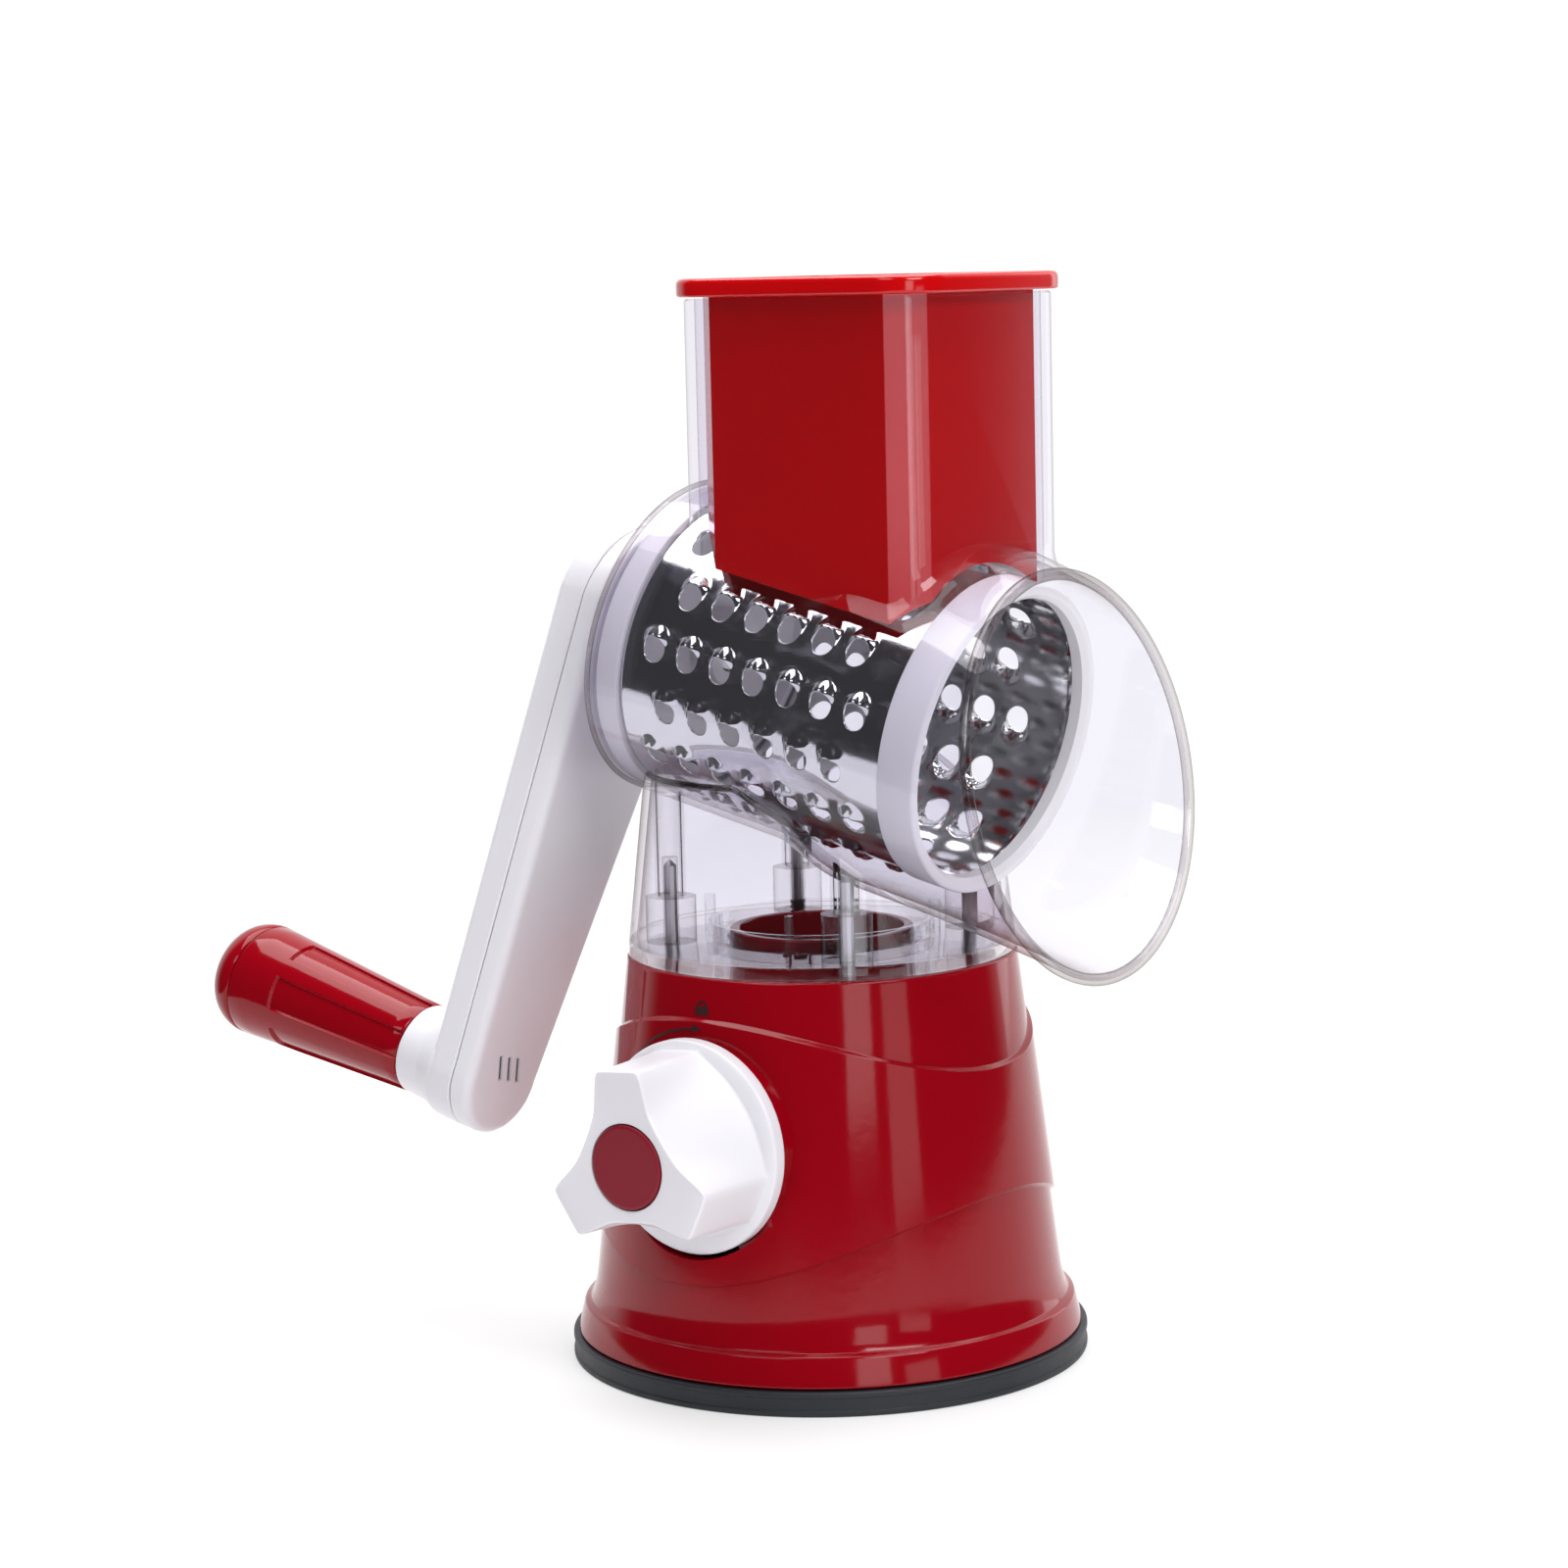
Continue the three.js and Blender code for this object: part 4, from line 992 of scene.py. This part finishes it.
ARM_HUB_R = 22.5
ARM_END_R = 13.5
ARM_S = (-64.5, -56.4, -56.1, -50.0)  # along the axis: outer face, both sides of the joint, inner face
ARM_SCREWS = (38, 92)  # from the hub towards the end
SLOTS = (-1, 0, 1)


def arm_outline(shrink):
    """The arm's outline as (across, up), hub at the top."""
    lean = math.asin((ARM_HUB_R - ARM_END_R) / ARM_LENGTH)
    points = []
    for k in range(41):
        a = lean + (math.pi - 2 * lean) * k / 40
        points.append(((ARM_HUB_R - shrink) * math.cos(a), (ARM_HUB_R - shrink) * math.sin(a)))
    for k in range(41):
        a = math.pi - lean + (math.pi + 2 * lean) * k / 40
        r = ARM_END_R - shrink
        points.append((r * math.cos(a), -ARM_LENGTH + r * math.sin(a)))
    return points


def arm_half(name, outside, joint):
    """One half shell: rounded at its face, with a small chamfer at the joint between the halves."""
    direction = math.copysign(1, joint - outside)
    levels = []
    radius = 2.6
    for k in range(7):
        a = math.pi / 2 * k / 6
        levels.append((radius * (1 - math.sin(a)), outside + direction * radius * (1 - math.cos(a))))
    levels.append((0.0, joint - direction * 0.35))
    levels.append((0.3, joint))
    rings = [[(s, y, z) for y, z in arm_outline(shrink)] for shrink, s in levels]
    return loft(name, rings, crank_frame)


SLOT_LEAN = ARM_ANGLE + 0.12


def slot_frame(k):
    """Place of the k-th of the three slots near the arm's end."""
    place = Matrix.Translation((0, k * 3.5, -ARM_LENGTH + 3.5))
    return crank_frame @ place @ Matrix.Rotation(SLOT_LEAN, 4, "X")


def crank():
    axis_turn = crank_frame @ x_axis
    end_turn = crank_frame @ Matrix.Translation((0, 0, -ARM_LENGTH)) @ x_axis
    outer = arm_half("arm_outer", ARM_S[0], ARM_S[1])
    boss = fillet([(0, -76.1), (11.4, -76.1, 0.7), (11.6, -69.0, 4.0), (13.3, -64.2, 2.0), (13.3, -62.0),
                   (0, -62.0)], 0.6)
    boolean(outer, [lathe("boss", boss, 96, end_turn)], "UNION")
    cuts = [rod("a", 6.3, -61.4, -50, 48, axis_turn), rod("b", 4.8, -70, -62.3, 48, axis_turn),
            rod("b2", 2.3, -66, -55, 32, axis_turn), rod("c", 3.3, -78, -56, 48, end_turn)]
    for z in ARM_SCREWS:
        turn = crank_frame @ Matrix.Translation((0, 0, -z)) @ x_axis
        cuts += [rod("d", 3.5, -70, -61.5, 40, turn), rod("e", SCREW_BORE, -70, -50, 24, turn)]
    boolean(outer, cuts)
    piece(outer, "crank", ["crank_arm_outer"], WHITE)
    inner = arm_half("arm_inner", ARM_S[3], ARM_S[2])
    cuts = [rod("f", 6.3, -60, -45, 48, axis_turn)]
    for z in ARM_SCREWS:
        turn = crank_frame @ Matrix.Translation((0, 0, -z)) @ x_axis
        cuts.append(rod("g", SCREW_BORE, -60, -51, 24, turn))
    for k in SLOTS:
        cuts.append(box("slot", (-55.0, -0.65, -3.3), (-49, 0.65, 3.3), slot_frame(k)))
    boolean(inner, cuts)
    piece(inner, "crank", ["crank_arm_inner"], WHITE)
    # Dark pieces set just inside the three slots: painted shade for the slots' insides.
    for k in SLOTS:
        shade = box("slot_shade_%d" % (k + 2), (-54.9, -0.6, -3.25), (-50.5, 0.6, 3.25), slot_frame(k))
        piece(shade, "crank", ["crank_arm_inner"], SHADE, bevel=0.15)


crank()


def grip():
    """Red grip: a taper with recessed flats that end square short of its cap."""
    turn = crank_frame @ Matrix.Translation((0, 0, -ARM_LENGTH)) @ x_axis
    start, end = -76.4, -131.0
    flats = 6

    def groove(r, h, a):
        if r < 8:
            return r, h
        phase = (a / (2 * math.pi) * flats) % 1.0
        across = min(max((0.31 - abs(phase - 0.5)) / 0.02, 0), 1)
        along = min(max((h - (end + 13.0)) / 0.5, 0), 1)
        return r - 0.75 * across * along, h

    profile = [(3.4, start), (10.9, start), (11.4, start - 0.5)]
    for t in np.linspace(0, 1, 12)[1:-1]:
        h = start - 0.5 + (end + 14.5 - start) * t
        profile.append((11.4 + 3.0 * t * 0.75, h))
    for h in (end + 13.9, end + 13.5, end + 13.0, end + 12.4, end + 9, end + 5, end + 0.5):
        t = (h - start) / (end - start)
        profile.append((11.4 + 3.05 * t ** 1.1, h))
    profile += [(14.25, end), (9, end), (9, end + 8), (3.4, end + 8)]
    obj = lathe("grip", profile, 288, turn, groove)
    piece(obj, "grip", ["grip_sleeve"], RED, sharp=50)
    rim = end - 0.3
    length = rim + 141.15
    dome = [(8.7, rim + 4), (8.7, rim), (14.2, rim), (14.45, rim - 0.4)]
    for k in range(1, 13):
        a = math.pi / 2 * k / 12
        dome.append((14.45 * math.cos(a) ** 0.62, rim - 0.4 - (length - 0.4) * math.sin(a)))
    dome[-1] = (0, dome[-1][1])
    dome.reverse()
    dome += [(8.6, rim + 4), (8.6, rim - 3), (0, rim - 3)]
    apart = dome[:1]
    for before, p in zip(dome, dome[1:]):
        if math.dist(before, p) > 0.05:
            apart.append(p)
    cap = lathe("grip_cap", apart, 144, turn)
    piece(cap, "grip", ["grip_end_cap"], RED, sharp=50)


grip()

# ------------------------------------------------------------------ pusher


def pusher():
    top, under = 256.0, 251.8
    half, corner = (36.0, 33.7), 12.0
    levels = []
    for grow, z in fillet([(-4, under), (0, under, 0.8), (0, top, 1.6), (-4.0, top)], 0.8, 6):
        levels.append([(x, y, z) for x, y in rounded_rectangle(half, corner, grow, 12)])
    obj = loft("pusher_body", levels)
    body = column("body", 0.0, AXIS_Z + 10, 252.5, 1)
    boolean(obj, [body], "UNION")
    saddle = rod("saddle", 38.4, -80, 90, 160, drum_frame @ x_axis)
    boolean(obj, [saddle])
    room = column("room", -2.2, AXIS_Z + 10, 262, 1)
    boolean(room, [rod("inner_saddle", 40.6, -80, 90, 160, drum_frame @ x_axis)])
    boolean(obj, [room])
    return piece(obj, "feed_pusher", ["pusher"], BRIGHT_RED, bevel=0.35)


pusher()

# ------------------------------------------------------------------ studio

FLOOR = (-0.42, 0.70, -1.2, 0.9)  # left, right, near and far edges from the object, metres


def floor_sheet():
    left, right, near, far = FLOOR
    corners = [SIDE * x + VIEW * y for x, y in ((left, near), (right, near), (right, far), (left, far))]
    mesh = bpy.data.meshes.new("floor")
    mesh.from_pydata([tuple(c) for c in corners], [], [(0, 1, 2, 3)])
    floor = bpy.data.objects.new("floor", mesh)
    bpy.context.scene.collection.objects.link(floor)
    pale = Nodes("floor_white")
    colour = pale.blend(pale.noise(6, 2), (0.44, 0.44, 0.445), (0.46, 0.46, 0.463))
    pale.link(colour, pale.shader.inputs["Base Color"])
    pale.set(Roughness=0.7, Emission_Color=(1, 1, 1, 1), Emission_Strength=FLOOR_GLOW)
    mesh.materials.append(pale.material)


def surroundings():
    """Bright behind the object and dark elsewhere, with a white backdrop for the camera."""
    world = bpy.data.worlds.new("studio")
    bpy.context.scene.world = world
    world.use_nodes = True
    tree = world.node_tree
    background = tree.nodes["Background"]
    coordinates = tree.nodes.new("ShaderNodeTexCoord")
    dot = tree.nodes.new("ShaderNodeVectorMath")
    dot.operation = "DOT_PRODUCT"
    dot.inputs[1].default_value = VIEW
    tree.links.new(coordinates.outputs["Generated"], dot.inputs[0])
    ramp = tree.nodes.new("ShaderNodeMapRange")
    ramp.interpolation_type = "SMOOTHSTEP"
    ramp.inputs["From Min"].default_value = 0.30
    ramp.inputs["From Max"].default_value = 0.62
    ramp.inputs["To Min"].default_value = DARK
    ramp.inputs["To Max"].default_value = 1.05
    tree.links.new(dot.outputs["Value"], ramp.inputs["Value"])
    path = tree.nodes.new("ShaderNodeLightPath")
    pick = tree.nodes.new("ShaderNodeMix")
    pick.data_type = "FLOAT"
    tree.links.new(path.outputs["Is Camera Ray"], pick.inputs["Factor"])
    tree.links.new(ramp.outputs["Result"], next(s for s in pick.inputs if s.identifier == "A_Float"))
    next(s for s in pick.inputs if s.identifier == "B_Float").default_value = 1.06
    picked = next(s for s in pick.outputs if s.identifier == "Result_Float")
    tree.links.new(picked, background.inputs["Strength"])
    background.inputs["Color"].default_value = (0.985, 0.985, 1.0, 1)


def area_light(name, place, target, width, power, height):
    """A rectangle of light, in metres and watts."""
    data = bpy.data.lights.new(name, "AREA")
    data.shape = "RECTANGLE"
    data.size = width
    data.size_y = height
    data.energy = power
    light = bpy.data.objects.new(name, data)
    light.location = place
    light.rotation_euler = (Vector(target) - Vector(place)).to_track_quat("-Z", "Y").to_euler()
    bpy.context.scene.collection.objects.link(light)


def from_camera(angle, distance, height):
    """A place round the object, by its angle to the right of the camera."""
    a = math.radians(angle)
    return SIDE * math.sin(a) * distance - VIEW * math.cos(a) * distance + Vector((0, 0, height))


floor_sheet()
surroundings()
middle = Vector((0, 0, 0.13))
area_light("overhead", VIEW * 0.15 + Vector((0, 0, 1.35)), middle, 1.5, 28, 1.3)
area_light("strip", from_camera(40, 1.15, 0.12), middle, 0.3, 0.3, 0.2)
area_light("corner", from_camera(18.5, 1.15, 0.27), middle, 0.3, 1.0, 0.38)
area_light("right_back", from_camera(128, 1.0, 0.35), middle, 0.3, 0.9, 0.8)
area_light("front_fill", from_camera(32, 1.6, 1.15), middle, 0.9, 15, 0.5)
area_light("left_fill", from_camera(-35, 1.6, 1.3), middle, 0.9, 5, 0.5)


CAMERA_AWAY = 0.9  # from the base's axis, metres
CAMERA_UP = 0.2587
SENSOR = 36
LENS = 87.8175


def camera():
    """The photograph's viewpoint."""
    pan, pitch, roll = math.radians(-0.522), math.radians(7.73), math.radians(-1.34)
    place = -VIEW * CAMERA_AWAY + Vector((0, 0, CAMERA_UP))
    forward = SIDE * math.sin(pan) * math.cos(pitch) + VIEW * math.cos(pan) * math.cos(pitch)
    forward.z = -math.sin(pitch)
    right = forward.cross(Vector((0, 0, 1))).normalized()
    up = right.cross(forward)
    rolled_right = right * math.cos(roll) + up * math.sin(roll)
    rolled_up = -right * math.sin(roll) + up * math.cos(roll)
    data = bpy.data.cameras.new("camera")
    data.sensor_width = SENSOR
    data.lens = LENS
    data.clip_start = 0.01
    cam = bpy.data.objects.new("camera", data)
    matrix = Matrix((rolled_right, rolled_up, -forward)).transposed().to_4x4()
    matrix.translation = place
    cam.matrix_world = matrix
    bpy.context.scene.collection.objects.link(cam)
    bpy.context.scene.camera = cam


camera()
